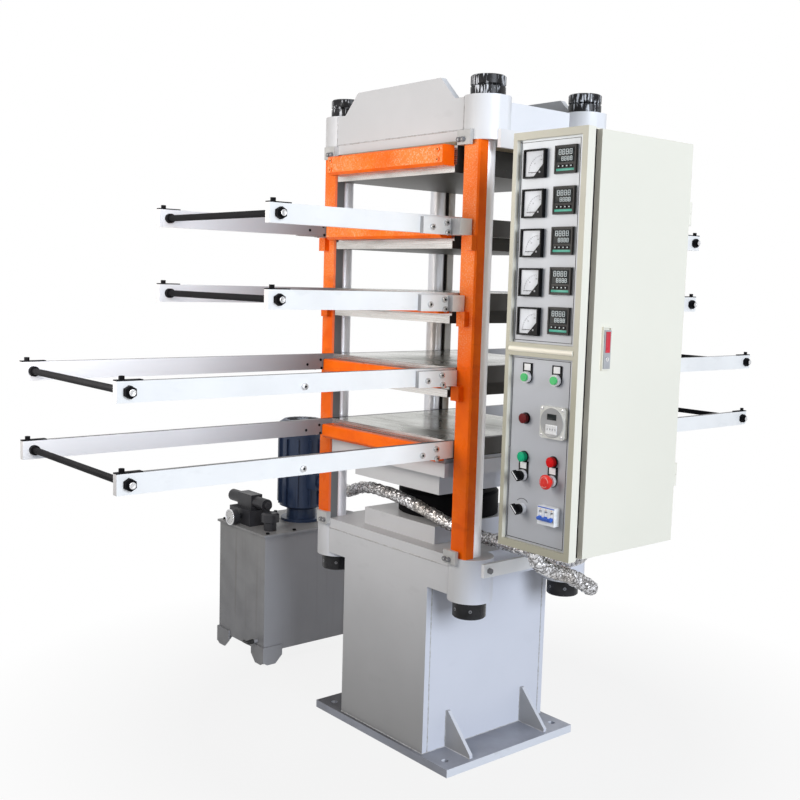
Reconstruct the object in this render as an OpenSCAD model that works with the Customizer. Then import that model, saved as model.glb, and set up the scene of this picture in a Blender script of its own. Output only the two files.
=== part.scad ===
// Rubber vulcanizing press: four-column upstroke press with five heated platens,
// tray rails at four daylights, a side control cabinet and a hydraulic power unit.
// Origin: centre of the base plate on the floor. -Y is the operator's side.

/* [Platens] */
// Width of a platen, across the press
platen_w = 550; // [500:10:600]
// Depth of a platen, front to rear
platen_d = 550; // [500:10:600]
// Thickness of the bright lower plate of each platen
face_plate = 22; // [16:1:28]
// Thickness of the heated core of a floating platen
core_h = 44; // [36:1:56]
// Thickness of the top platen's heated core
top_core_h = 53; // [45:1:62]
// Thickness of the bottom platen
bottom_platen_h = 57; // [50:1:66]
// Setback of the core behind the platen's front and rear faces
core_inset = 8; // [4:1:14]
// Thickness of the insulation boards
insulation_h = 12; // [8:1:18]
// Open daylight between two platens
daylight = 125; // [100:5:150]
// Gap left between closed platens
closed_gap = 0.5; // [0.4:0.1:1]

/* [Front covers] */
// Depth of the orange terminal covers
cover_depth = 45; // [35:1:55]
// Height of a floating platen's cover
cover_h = 44; // [36:1:48]
// Height of the top platen's cover
top_cover_h = 58; // [50:1:64]
// Drop of a cover below the platen's top face
cover_drop = 16; // [12:1:20]
// Sheet thickness of the covers
cover_sheet = 3; // [2:0.5:4]
// Side gap between a cover and the rails
cover_side_gap = 4; // [2:1:10]

/* [Rails] */
// Height of a tray rail
rail_h = 50; // [40:1:60]
// Thickness of a tray rail
rail_t = 18; // [14:1:24]
// Front reach of the two upper rail pairs
upper_front = 903; // [750:1:1000]
// Rear reach of the two upper rail pairs
upper_rear = 888; // [750:1:1000]
// Front reach of the two lower rail pairs
lower_front = 1303; // [1150:1:1400]
// Rear reach of the two lower rail pairs
lower_rear = 1255; // [1150:1:1400]
// Diameter of the cross rods
rod_d = 18; // [14:1:22]
// Distance from a rail's end to its cross rod
rod_inset = 30; // [24:1:45]
// Width across flats of the rod nuts
rod_nut_af = 27; // [24:1:32]
// Thickness of the rod nuts
rod_nut_h = 13; // [10:1:16]
// Free thread past the rod nuts
rod_thread = 7; // [4:1:12]
// Length of the stop plate on a rail's end
stop_l = 66; // [50:1:80]
// Thickness of the stop plate
stop_t = 3; // [2:0.5:5]

/* [Hangers] */
// Thickness of a hanger lug's flat leg
lug_t = 14; // [10:1:18]
// Height of a hanger lug
lug_h = 46; // [38:1:50]
// Front end of the lug's flat leg, from the platen's face
lug_reach = 138; // [110:1:160]
// Depth of the ear that rests on its step
ear_d = 45; // [36:1:55]
// Overhang of the longest ear past the post's inner side
ear_longest = 49; // [46:1:55]
// Difference in length between the ears of two tiers
ear_pitch = 20; // [18:1:21]
// Width of a hanger step
step_w = 33; // [28:1:36]
// Height of a hanger step
step_h = 42; // [34:1:50]
// Projection of a hanger step from the post
step_d = 17; // [12:1:22]
// Passing clearance between ears, steps and posts
pass_gap = 4; // [3:0.5:6]

/* [Frame] */
// Overhang of the base plate beyond the lower beam at each side
base_over_x = 4; // [0:1:40]
// Overhang of the base plate beyond the pedestal at front and rear
base_over_y = 12; // [6:1:60]
// Thickness of the base plate
base_t = 25; // [18:1:35]
// Diameter of the anchor holes
anchor_d = 22; // [16:1:28]
// Distance of the anchor holes from the base plate's sides
anchor_edge_x = 51; // [40:1:60]
// Distance of the anchor holes from the base plate's front and rear
anchor_edge_y = 39; // [34:1:46]
// Width of the pedestal
pedestal_w = 410; // [390:1:440]
// Thickness of the pedestal and beam plates
wall = 20; // [14:1:26]
// Height of the lower beam's arms above the floor
arm_z = 550; // [500:1:600]
// Height of the lower beam with its top plate
arm_h = 116; // [100:1:140]
// Thickness of the lower beam's top plate
lower_plate = 32; // [24:1:40]
// Height of the side gussets
gusset_h = 117; // [80:1:160]
// Reach of the side gussets
gusset_reach = 112; // [80:1:120]
// Thickness of the side gussets
gusset_t = 12; // [8:1:16]
// Distance of the gussets from the centre
gusset_y = 165; // [120:1:200]
// Diameter of the tie columns
column_d = 55; // [48:1:58]
// Distance of the columns behind the platen's front face
column_inset = 69; // [66:1:74]
// Offset of the columns from the posts' inner sides
column_offset = 30; // [30:1:33]
// Diameter of the column bosses
boss_d = 134; // [124:1:140]
// Height of the lower bosses
lower_boss_h = 131; // [116:1:150]
// Height of the upper bosses
upper_boss_h = 123; // [105:1:140]
// Diameter of the column nuts
nut_d = 100; // [84:1:110]
// Height of one upper lock nut
lock_nut_h = 28; // [20:1:34]
// Height of a lower nut
lower_nut_h = 52; // [40:1:60]
// Thickness of the upper beam's bottom plate
upper_plate = 30; // [22:1:38]
// Height of the upper beam's end shoulders above its underside
shoulder_h = 120; // [100:1:135]
// Height of the upper beam's crown above its underside
crown_h = 184; // [150:1:210]
// Width of the crown
crown_w = 386; // [320:1:420]
// Width between the shoulders' inner ends
shoulder_w = 512; // [470:1:530]

/* [Guide posts] */
// Width of a guide post
post_w = 65; // [58:1:72]
// Depth of a guide post
post_d = 34; // [28:1:36]
// Sheet thickness of a guide post
post_sheet = 6; // [4:0.5:7]
// Distance of the posts behind the platen's front face
post_setback = 10; // [6:1:14]
// Width of a post's holding tab
tab_w = 52; // [44:1:60]
// Height of a post's holding tab
tab_h = 40; // [34:1:48]
// Thickness of a post's holding tab
tab_t = 18; // [12:1:20]
// Diameter of the socket screws in the tabs
tab_screw_d = 13; // [10:1:15]

/* [Cylinder and table] */
// Diameter of the ram
ram_d = 240; // [200:5:250]
// Running clearance round the ram
ram_clear = 0.05; // [0.02:0.01:0.1]
// Outer diameter of the gland ring
gland_d = 326; // [300:1:330]
// Height of the gland ring
gland_h = 78; // [60:1:90]
// Outer diameter of the cylinder barrel
barrel_d = 330; // [300:1:340]
// Bore of the cylinder barrel below the gland
barrel_bore = 262; // [256:1:270]
// Width of the cylinder's head flange
flange_w = 344; // [342:1:360]
// Depth of the cylinder's head flange
flange_d = 424; // [380:1:440]
// Height of the cylinder's head flange
flange_h = 54; // [40:1:70]
// Height of the cylinder's closed end above the floor
barrel_z = 110; // [60:1:130]
// Thickness of the cylinder's closed end
barrel_end = 45; // [30:1:60]
// Length of ram in view when it is down
ram_show = 28; // [20:1:40]
// Height of the ram's lower end above the cylinder's closed end
ram_foot = 40; // [20:1:50]
// Width of the moving table's lower box
table_w = 410; // [360:1:440]
// Depth of the moving table's lower box
table_d = 460; // [400:1:500]
// Height of the moving table's lower box
table_box_h = 68; // [50:1:80]
// Thickness of the moving table's upper plate
table_plate = 42; // [30:1:50]

/* [Control cabinet] */
// Width of the cabinet without its door
cab_w = 227; // [225:1:250]
// Depth of the cabinet
cab_d = 406; // [390:1:450]
// Height of the cabinet's floor above the ground
cab_z = 790; // [760:1:820]
// Front of the cabinet ahead of the press's centre
cab_front = 397; // [380:1:420]
// Gap between the right bosses and the cabinet
cab_gap = 227; // [200:1:240]
// Sheet thickness of the cabinet
cab_sheet = 3; // [2:0.5:4]
// Depth of the front frame round the panels
frame_d = 12; // [8:1:16]
// Width of the front frame's border on the press's side
frame_w = 13; // [8:1:13]
// Width of the front frame's border on the door's side
frame_door_w = 17; // [15:1:20]
// Height of the bar between the two panels
cross_bar = 33; // [24:1:36]
// Height of the lower panel's window
lower_window = 475; // [430:1:500]
// Height of the upper panel's window
upper_window = 500; // [450:1:540]
// Height of the frame above and below the panels
frame_end = 18; // [12:1:20]
// Thickness of the panel sheets
panel_t = 3; // [2:0.5:4]
// Thickness of the cabinet door
door_t = 16; // [14:1:20]
// Gap between the cabinet and its door
door_gap = 2; // [1:0.5:3]
// Setback of the door behind the cabinet's front
door_setback = 45; // [40:1:60]
// Radius of the door's hinge pins
hinge_pin = 3; // [2:0.5:4]
// Running clearance of small pins, plungers and knobs
pin_clear = 0.05; // [0.02:0.01:0.1]
// Thickness of the brackets that carry the cabinet
bracket_t = 12; // [8:1:16]
// Width of the square arms that carry the cabinet
arm_w = 40; // [30:1:50]

/* [Instruments] */
// Side of an ammeter
meter = 70; // [66:1:80]
// Side of a temperature controller
controller = 67; // [62:1:74]
// Side of the timer
timer = 80; // [72:1:90]
// Left column of the panels from the cabinet's left side
col_left = 70; // [66:1:72]
// Right column of the panels from the cabinet's left side
col_right = 168; // [166:1:172]
// Diameter of a button or knob shaft
knob_d = 20; // [16:1:22]
// Diameter of a button's collar
collar_d = 29; // [26:1:32]
// Height of a button's collar
collar_h = 12; // [8:1:14]
// Width of the breaker
breaker_w = 56; // [54:1:70]
// Height of the breaker's nose
breaker_h = 46; // [40:1:50]

/* [Power unit] */
// Width of the oil tank
tank_w = 325; // [300:1:360]
// Length of the oil tank
tank_l = 500; // [460:1:560]
// Height of the oil tank's body
tank_h = 445; // [400:1:480]
// Height of the tank's floor above the ground
tank_z = 50; // [40:1:70]
// Left end of the tank from the press's centre
tank_x = 1090; // [1080:1:1150]
// Front of the tank ahead of the press's centre
tank_front = 212; // [190:1:240]
// Thickness of the tank's lid
lid_t = 8; // [6:1:12]
// Diameter of the pump motor
motor_d = 190; // [160:2:200]
// Height of the pump motor's ribbed body
motor_h = 280; // [240:1:300]
// Outer diameter of the wrapped wiring conduit
conduit_d = 40; // [32:1:42]
// Outer diameter of the wrapped supply tail
tail_d = 44; // [36:1:48]

/* [Hidden] */
$fn = 64;

// Heights, from the floor up
lower_top = arm_z + arm_h;
flange_top = lower_top + flange_h;
gland_top = flange_top + gland_h;
table_z = gland_top + ram_show;
table_plate_z = table_z + table_box_h;
table_top = table_plate_z + table_plate;
bottom_z = table_top + insulation_h;
bottom_top = bottom_z + bottom_platen_h;
float_h = 2 * face_plate + core_h;
pitch = float_h + daylight;
top_platen_z = bottom_top + 3 * pitch + daylight;
top_platen_h = face_plate + top_core_h;
upper_z = top_platen_z + top_platen_h + insulation_h;
lower_boss_z = lower_top - lower_boss_h;
upper_boss_top = upper_z + upper_boss_h;
nut_gap = 1;
column_low = lower_boss_z - lower_nut_h;
column_high = upper_boss_top + 2 * lock_nut_h + nut_gap;

// Plan positions
rail_in = platen_w / 2;
rail_out = rail_in + rail_t;
post_in = rail_out + pass_gap;
post_out = post_in + post_w;
post_front = platen_d / 2 - post_setback;
column_x = post_in + column_offset;
column_y = platen_d / 2 - column_inset;
base_w = 2 * (column_x + base_over_x);
base_d = 2 * (post_front + base_over_y);
anchor_x = base_w - 2 * anchor_edge_x;
anchor_y = base_d - 2 * anchor_edge_y;
boss_flat = 2;
weld_gap = 0.1;
beam_d = 2 * post_front;
seat = 0.05;

// Hanger ears and steps: each lower tier is shorter, so that it passes the steps above it
function ear_end(t) = post_in + ear_longest - t * ear_pitch;
function step_in(t) = t < 2 ? ear_end(t + 1) + pass_gap : post_in;
function step_out(t) = min(post_out, step_in(t) + step_w);
lug_top_drop = 6;
ear_gap = 3;

// Floating platens, counted from the top
function float_top(t) = bottom_top + (3 - t) * pitch;
function front_reach(t) = t < 2 ? upper_front : lower_front;
function rear_reach(t) = t < 2 ? upper_rear : lower_rear;

// Cabinet positions
cab_x = column_x + boss_d / 2 + cab_gap;
cab_right = cab_x + cab_w;
cab_h = lower_window + cross_bar + upper_window + 2 * frame_end;
cab_top = cab_z + cab_h;
cab_back = cab_d - cab_front;
panel_y = -cab_front + frame_d;
door_x = cab_right + door_gap;
door_front = -cab_front + door_setback;
frame_back = 4;
frame_fold = 26;
frame_right = door_x + door_t - frame_back;
window_left = cab_x + frame_w;
window_right = frame_right - frame_door_w;
window_z = cab_z + frame_end;
window_mid = window_z + lower_window;
window_top = cab_top - frame_end;
panel_lap = 8;
hinge_x = door_x + door_t / 2;
hinge_y = cab_back + door_t / 2;
knuckle_r = door_t / 2 - 1;
knuckle_h = 30;
hinge_low = 150;
hinge_high = 210;
hinge_heights = [cab_z + hinge_low, cab_top - hinge_high];

// Panel positions
left_x = cab_x + col_left;
right_x = cab_x + col_right;
row_n = 5;
meter_edge_top = 25;
meter_edge_low = 19;
meter_z = window_top - meter / 2 - meter_edge_top;
meter_pitch = (upper_window - meter - meter_edge_top - meter_edge_low) / (row_n - 1);
// Rows of the lower panel above its sill, drawn for a window of this height and kept in proportion
drawn_window = 475;
control_rows = [86, 172, 220, 318, 422];
function control_z(i) = window_z + control_rows[i] * lower_window / drawn_window;
low_z = control_z(0);
select_z = control_z(1);
lamp_z = control_z(2);
timer_z = control_z(3);
button_z = control_z(4);
meter_h = 12;
needle_dx = meter * 0.3;
needle_y = panel_y - meter_h + 4;
panel_fit = 0.5;
body_fit = 1;
meter_body_r = 30;
plunger_travel = 4;

// Power unit positions
tank_top = tank_z + tank_h;
lid_top = tank_top + lid_t;
motor_x = -tank_x + 165;
motor_y = 60;
motor_foot_h = 60;
terminal_w = 70;
terminal_h = 60;
terminal_z = lid_top + motor_foot_h + 110;
terminal_x = motor_x + motor_d / 2 + 45;
gland_nut = 12;

// Wiring conduit: from the motor's terminal box, over the lower beam, to the cabinet's floor
conduit_gland_x = cab_x + 59;
conduit_gland_y = -110;
conduit_start = terminal_x + gland_nut;
conduit_end = cab_z - gland_nut;
conduit_route = [
  [conduit_start, motor_y, terminal_z], [conduit_start + 40, motor_y, terminal_z],
  [-660, 52, 676], [-590, 24, 684], [-520, -20, 696], [-450, -70, 710], [-390, -110, 724],
  [-330, -142, 741], [-270, -166, 760], [-210, -184, 776], [-140, -197, 784], [-60, -203, 784],
  [20, -205, 777], [100, -205, 764], [165, -202, 750], [215, -192, 735], [265, -172, 720],
  [320, -146, 708], [380, -122, 700], [450, -108, 694], [530, -102, 690],
  [cab_x - 21, -104, 696], [cab_x + 29, -108, conduit_end - 62], [cab_x + 54, -110, conduit_end - 34],
  [conduit_gland_x, conduit_gland_y, conduit_end - 16], [conduit_gland_x, conduit_gland_y, conduit_end]
];
// Supply tail: from its gland in the cabinet's floor, down and back
tail_gland_x = cab_x + 79;
tail_gland_y = -cab_front + 62;
tail_steps = [
  [0, 0, 0], [0, 0, -14], [1, 7, -30], [2, 27, -46], [3, 60, -61], [4, 105, -78], [5, 150, -97],
  [6, 195, -120], [7, 237, -146]
];
tail_route = [for (p = tail_steps) [tail_gland_x, tail_gland_y, conduit_end] + p];
tube_sides = 10;

// Shared shapes

// Copies a child to the four corners by mirroring
module four_ways() {
  for (mx = [0, 1], my = [0, 1]) mirror([mx, 0, 0]) mirror([0, my, 0]) children();
}

// Box given by two corners
module span(a, b) {
  translate(a) cube(b - a);
}

// Outline in the Y-Z plane, drawn out along X from x0 to x1
module along_x(x0, x1) {
  translate([x0, 0, 0]) rotate([90, 0, 90]) linear_extrude(x1 - x0) children();
}

// Outline in the X-Z plane, drawn out along Y from y0 to y1
module along_y(y0, y1) {
  translate([0, y1, 0]) rotate([90, 0, 0]) linear_extrude(y1 - y0) children();
}

// Round bar along X
module rod_x(x0, x1, d, sides = 64) {
  translate([x0, 0, 0]) rotate([0, 90, 0]) cylinder(d = d, h = x1 - x0, $fn = sides);
}

// Round bar along Y
module rod_y(y0, y1, d, sides = 64) {
  translate([0, y0, 0]) rotate([-90, 0, 0]) cylinder(d = d, h = y1 - y0, $fn = sides);
}

// The four boss outlines, cut from the beam plates that meet them
module boss_cut(z0, z1) {
  four_ways() translate([column_x, column_y, z0]) cylinder(d = boss_d + 2 * weld_gap, h = z1 - z0);
}

// Closed tube swept along a route of points
function unit(v) = v / norm(v);
function tangent(p, i) = unit(p[min(i + 1, len(p) - 1)] - p[max(i - 1, 0)]);
function side_of(t) = abs(t[2]) > 0.9 ? unit(cross(t, [0, 1, 0])) : unit(cross(t, [0, 0, 1]));
function carried(s, t) = unit(s - (s * t) * t);
function sides_along(p, i = 0, last = [0, 0, 0]) =
  i >= len(p) ? [] :
  let (t = tangent(p, i), s = i == 0 ? side_of(t) : carried(last, t))
  concat([s], sides_along(p, i + 1, s));
module tube(p, d) {
  n = tube_sides;
  frames = sides_along(p);
  points = [for (i = [0:len(p) - 1])
    let (t = tangent(p, i), s = frames[i], u = cross(t, s))
    for (k = [0:n - 1])
      p[i] + d / 2 * (cos(360 * k / n) * s + sin(360 * k / n) * u)];
  walls = [for (i = [0:len(p) - 2], k = [0:n - 1], half = [0, 1])
    let (a = i * n + k, b = i * n + (k + 1) % n)
    half == 0 ? [a, a + n, b] : [b, a + n, b + n]];
  caps = [[for (k = [0:n - 1]) k], [for (k = [n - 1:-1:0]) (len(p) - 1) * n + k]];
  polyhedron(points, concat(walls, caps), convexity = 6);
}

// Frame

// Floor plate with four anchor holes
module base_plate() color("gray") difference() {
  translate([-base_w / 2, -base_d / 2, 0]) cube([base_w, base_d, base_t]);
  four_ways() translate([anchor_x / 2, anchor_y / 2, -1]) cylinder(d = anchor_d, h = base_t + 2);
}

// End plate of the pedestal with the lower beam's end plate welded on it
beam_top = lower_top - lower_plate - weld_gap;
side_rise = 30;
module end_plate() {
  span([-pedestal_w / 2, -post_front, base_t], [pedestal_w / 2, -post_front + wall, arm_z - weld_gap]);
  difference() {
    span([-column_x, -post_front, arm_z], [column_x, -post_front + wall, beam_top]);
    boss_cut(arm_z - 1, lower_top);
  }
}

gusset_x = pedestal_w / 2 + weld_gap;
gusset_nose = 10;
// Welded pedestal: end plates, side plates, beam side plates, top plate and gussets
module pedestal_plates() color("gainsboro") {
  for (my = [0, 1]) mirror([0, my, 0]) end_plate();
  for (mx = [0, 1]) mirror([mx, 0, 0]) {
    span([pedestal_w / 2 - wall, -post_front + wall + weld_gap, base_t],
         [pedestal_w / 2, post_front - wall - weld_gap, beam_top]);
    difference() {
      span([column_x - wall, -column_y, arm_z + side_rise],
           [column_x, column_y, beam_top]);
      boss_cut(arm_z, lower_top);
    }
  }
  difference() {
    span([-column_x, -post_front, lower_top - lower_plate], [column_x, post_front, lower_top]);
    boss_cut(arm_z, lower_top + 1);
    translate([0, 0, arm_z]) cylinder(d = barrel_d + 2 * seat, h = arm_h + 1);
  }
  for (mx = [0, 1], y = [-gusset_y, gusset_y]) mirror([mx, 0, 0])
    along_y(y - gusset_t / 2, y + gusset_t / 2) polygon([
      [gusset_x, base_t], [gusset_x + gusset_reach, base_t], [gusset_x + gusset_reach, base_t + gusset_nose],
      [gusset_x + gusset_nose, base_t + gusset_h], [gusset_x, base_t + gusset_h]
    ]);
}

// One boss with its column bore and a flat for the side brackets
module boss(z0, h) difference() {
  translate([column_x, column_y, z0]) cylinder(d = boss_d, h = h);
  translate([column_x, column_y, z0 - 1]) cylinder(d = column_d + 2 * seat, h = h + 2);
  translate([column_x + boss_d / 2 - boss_flat, 0, z0 - 1]) cube([boss_flat + 1, column_y * 2, h + 2]);
}

module column_bosses() color("whitesmoke") {
  four_ways() boss(lower_boss_z, lower_boss_h);
  four_ways() boss(upper_z, upper_boss_h);
}

module tie_columns() color("silver")
  four_ways() translate([column_x, column_y, column_low])
    cylinder(d = column_d, h = column_high - column_low);

// Round nut with a chamfered outer rim
nut_rim = 3;
module round_nut(z0, h) translate([column_x, column_y, z0]) rotate_extrude() polygon([
  [column_d / 2 + seat, 0], [nut_d / 2 - nut_rim, 0], [nut_d / 2, nut_rim],
  [nut_d / 2, h - nut_rim], [nut_d / 2 - nut_rim, h], [column_d / 2 + seat, h]
]);

module column_nuts() color("black") four_ways() {
  round_nut(column_low, lower_nut_h);
  round_nut(upper_boss_top, lock_nut_h);
  round_nut(upper_boss_top + lock_nut_h + nut_gap, lock_nut_h);
}

web_z = upper_z + upper_plate + weld_gap;
// Upper beam: bottom plate, crowned front and rear plates, side plates and ribs
module upper_beam() color("whitesmoke") {
  difference() {
    span([-column_x, -post_front, upper_z], [column_x, post_front, upper_z + upper_plate]);
    boss_cut(upper_z - 1, upper_boss_top);
  }
  for (my = [0, 1]) mirror([0, my, 0]) difference() {
    along_y(-post_front, -post_front + wall) polygon([
      [-column_x, web_z], [column_x, web_z],
      [column_x, upper_z + shoulder_h], [shoulder_w / 2, upper_z + shoulder_h],
      [crown_w / 2, upper_z + crown_h], [-crown_w / 2, upper_z + crown_h],
      [-shoulder_w / 2, upper_z + shoulder_h], [-column_x, upper_z + shoulder_h]
    ]);
    boss_cut(upper_z, upper_boss_top + 1);
  }
  for (mx = [0, 1]) mirror([mx, 0, 0]) {
    difference() {
      span([column_x - wall, -column_y, web_z], [column_x, column_y, upper_z + shoulder_h]);
      boss_cut(upper_z, upper_boss_top + 1);
    }
    span([crown_w / 4 - wall / 2, -post_front + wall + weld_gap, web_z],
         [crown_w / 4 + wall / 2, post_front - wall - weld_gap, upper_z + shoulder_h]);
  }
}

// Guide post: folded channel with its web outward and bevelled corners
module guide_post() translate([0, 0, lower_top]) linear_extrude(upper_z - lower_top) {
  bevel = post_sheet * 0.8;
  polygon([
    [post_in, -post_front + bevel], [post_in + bevel, -post_front],
    [post_out - bevel, -post_front], [post_out, -post_front + bevel],
    [post_out, -post_front + post_d], [post_out - post_sheet, -post_front + post_d],
    [post_out - post_sheet, -post_front + post_sheet], [post_in + post_sheet, -post_front + post_sheet],
    [post_in + post_sheet, -post_front + post_d], [post_in, -post_front + post_d]
  ]);
}

module guide_posts() color("orangered") four_ways() guide_post();

// Stepped blocks on the posts that carry the floating platens when the press is open
module hanger_steps() color("darkorange") four_ways() for (t = [0:2])
  span([step_in(t), -post_front - step_d, float_top(t) - lug_top_drop - lug_h - seat - step_h],
       [step_out(t), -post_front, float_top(t) - lug_top_drop - lug_h - seat]);

// Block with two socket screws that holds one end of a post, cut to its boss
tab_x = post_in - 8;
tab_edge = 10;
tab_screw_h = 8;
module post_tab(z0) {
  difference() {
    span([tab_x, -post_front - tab_t, z0], [tab_x + tab_w, -post_front, z0 + tab_h]);
    translate([column_x, -column_y, z0 - 1]) cylinder(d = boss_d + 2 * weld_gap, h = tab_h + 2);
  }
  for (x = [tab_x + tab_edge, tab_x + tab_w / 2])
    translate([x, 0, z0 + tab_h * 0.35])
      rod_y(-post_front - tab_t - tab_screw_h, -post_front - tab_t, tab_screw_d);
}

module post_tabs() color("lightgray") four_ways() {
  post_tab(lower_top - tab_h * 0.45);
  post_tab(upper_z - tab_h * 0.35);
}

// Cylinder

// Head flange, barrel and closed end in one forging
module cylinder_barrel() color("whitesmoke") difference() {
  union() {
    span([-flange_w / 2, -flange_d / 2, lower_top], [flange_w / 2, flange_d / 2, flange_top]);
    translate([0, 0, barrel_z]) cylinder(d = barrel_d, h = flange_top - barrel_z);
  }
  translate([0, 0, barrel_z + barrel_end]) cylinder(d = barrel_bore, h = flange_top - barrel_z);
}

// Gland ring that guides the ram
module cylinder_gland() color("black") translate([0, 0, flange_top]) rotate_extrude() polygon([
  [ram_d / 2 + ram_clear, 0], [gland_d / 2, 0], [gland_d / 2, gland_h - 8], [gland_d / 2 - 8, gland_h],
  [ram_d / 2 + 6, gland_h], [ram_d / 2 + ram_clear, gland_h - 6]
]);

module ram() color("silver") translate([0, 0, barrel_z + barrel_end + ram_foot])
  cylinder(d = ram_d, h = table_z - barrel_z - barrel_end - ram_foot);

// Moving table: lower box, upper plate and insulation board
module moving_table() color("whitesmoke") {
  span([-table_w / 2, -table_d / 2, table_z], [table_w / 2, table_d / 2, table_plate_z - weld_gap]);
  span([-platen_w / 2, -platen_d / 2, table_plate_z], [platen_w / 2, platen_d / 2, table_top]);
  span([-platen_w / 2 + core_inset, -platen_d / 2 + core_inset, table_top + seat],
       [platen_w / 2 - core_inset, platen_d / 2 - core_inset, bottom_z]);
}

// Platens

// Full-size plate of a platen
module platen_plate(z0, z1)
  span([-platen_w / 2, -platen_d / 2, z0], [platen_w / 2, platen_d / 2, z1]);

// Heated core, set back at front and rear, with its row of terminal studs
terminal_n = 6;
terminal_d = 12;
terminal_l = 24;
module platen_core(z0, z1) {
  span([-platen_w / 2, -platen_d / 2 + core_inset, z0 + seat],
       [platen_w / 2, platen_d / 2 - core_inset, z1 - seat]);
  for (i = [0:terminal_n - 1])
    translate([(i - (terminal_n - 1) / 2) * platen_w / (terminal_n + 1), 0, (z0 + z1) / 2])
      rod_y(-platen_d / 2 + core_inset - terminal_l, -platen_d / 2 + core_inset + 1, terminal_d);
}

module floating_platen(t) {
  top = float_top(t);
  platen_plate(top - float_h, top - float_h + face_plate);
  platen_core(top - float_h + face_plate, top - face_plate);
  platen_plate(top - face_plate, top);
}

module platen_top() color("silver") {
  platen_plate(top_platen_z, top_platen_z + face_plate);
  platen_core(top_platen_z + face_plate, top_platen_z + top_platen_h);
}

module insulation_board() color("tan") span(
  [-platen_w / 2 + core_inset, -platen_d / 2 + core_inset, top_platen_z + top_platen_h],
  [platen_w / 2 - core_inset, platen_d / 2 - core_inset, upper_z]);

module platen_bottom() color("slategray") {
  platen_core(bottom_z, bottom_top - face_plate);
  platen_plate(bottom_top - face_plate, bottom_top);
}

// Folded terminal cover on a platen's front face, with closed ends
module cover(z0, h) color("orangered") {
  y0 = -platen_d / 2 - cover_depth;
  y1 = -platen_d / 2;
  s = cover_sheet;
  half = platen_w / 2 - cover_side_gap;
  fold = 8;
  along_x(-half, half) polygon([
    [y1, z0], [y0 + fold, z0], [y0, z0 + fold], [y0, z0 + h - fold / 2], [y0 + fold / 2, z0 + h],
    [y0 + 3 * fold, z0 + h], [y0 + 3 * fold, z0 + h - s], [y0 + fold, z0 + h - s],
    [y0 + s, z0 + h - fold], [y0 + s, z0 + fold + s / 2], [y0 + fold + s / 2, z0 + s], [y1, z0 + s]
  ]);
  for (x = [-half, half - s]) along_x(x, x + s) polygon([
    [y1, z0], [y0 + fold, z0], [y0, z0 + fold], [y0, z0 + h - fold / 2], [y0 + fold / 2, z0 + h], [y1, z0 + h]
  ]);
}

module floating_cover(top) cover(top - cover_drop - cover_h, cover_h);
cover_seat = 5;
module cover_top() cover(top_platen_z + face_plate - cover_seat, top_cover_h);

// Tray rails

rod_drop = rail_h / 2;
// Pair of flat bars along the platen's sides, bored for the cross rods
module rail_pair(top, front, rear) color("whitesmoke") for (mx = [0, 1]) mirror([mx, 0, 0]) difference() {
  span([rail_in, -front, top - rail_h], [rail_out, rear, top]);
  for (y = [-front + rod_inset, rear - rod_inset])
    translate([0, y, top - rod_drop]) rod_x(rail_in - 1, rail_out + 1, rod_d + 2 * seat);
}

// Hanger lug: flat leg on the rail and an ear that rests on its step
module hanger_lug(t) {
  z1 = float_top(t) - lug_top_drop;
  ear_back = -post_front - ear_gap;
  lug_x = rail_out + seat;
  translate([0, 0, z1 - lug_h]) linear_extrude(lug_h) polygon([
    [lug_x, -platen_d / 2 - lug_reach], [rail_out + lug_t, -platen_d / 2 - lug_reach],
    [rail_out + lug_t, ear_back - ear_d], [ear_end(t), ear_back - ear_d],
    [ear_end(t), ear_back], [lug_x, ear_back]
  ]);
}

module floating_rails(t) {
  rail_pair(float_top(t), front_reach(t), rear_reach(t));
  color("lightgray") four_ways() hanger_lug(t);
}

// Cross rod with its inner collars, outer nuts and thread ends
module cross_rod(y, z) translate([0, y, z]) {
  rod_x(-rail_out - rod_nut_h - rod_thread, rail_out + rod_nut_h + rod_thread, rod_d);
  for (mx = [0, 1]) mirror([mx, 0, 0]) {
    rod_x(rail_out, rail_out + rod_nut_h, rod_nut_af / cos(30), 6);
    rod_x(rail_in - rod_nut_h, rail_in, rod_d * 1.5);
  }
}

// Stop plate on a rail's end, with its bolt
stop_bolt_d = 14;
stop_bolt_h = 9;
module stop_plate(y, inward, top) {
  y0 = min(y, y + inward * stop_l);
  span([rail_in, y0, top], [rail_out, y0 + stop_l, top + stop_t]);
  translate([(rail_in + rail_out) / 2, y + inward * stop_l / 4, top + stop_t])
    cylinder(d = stop_bolt_d, h = stop_bolt_h, $fn = 6);
}

module rail_rods(top, front, rear) color("black") {
  cross_rod(-front + rod_inset, top - rod_drop);
  cross_rod(rear - rod_inset, top - rod_drop);
  for (mx = [0, 1]) mirror([mx, 0, 0]) {
    stop_plate(-front, 1, top);
    stop_plate(rear, -1, top);
  }
}

module cover_bottom() floating_cover(bottom_top);
module rails_bottom() rail_pair(bottom_top, lower_front, lower_rear);
module rods_bottom() rail_rods(bottom_top, lower_front, lower_rear);
module platen_lower() color("slategray") floating_platen(2);
module cover_lower() floating_cover(float_top(2));
module rails_lower() floating_rails(2);
module rods_lower() rail_rods(float_top(2), front_reach(2), rear_reach(2));
module platen_middle() color("slategray") floating_platen(1);
module cover_middle() floating_cover(float_top(1));
module rails_middle() floating_rails(1);
module rods_middle() rail_rods(float_top(1), front_reach(1), rear_reach(1));
module platen_upper() color("slategray") floating_platen(0);
module cover_upper() floating_cover(float_top(0));
module rails_upper() floating_rails(0);
module rods_upper() rail_rods(float_top(0), front_reach(0), rear_reach(0));

// Control cabinet

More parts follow.
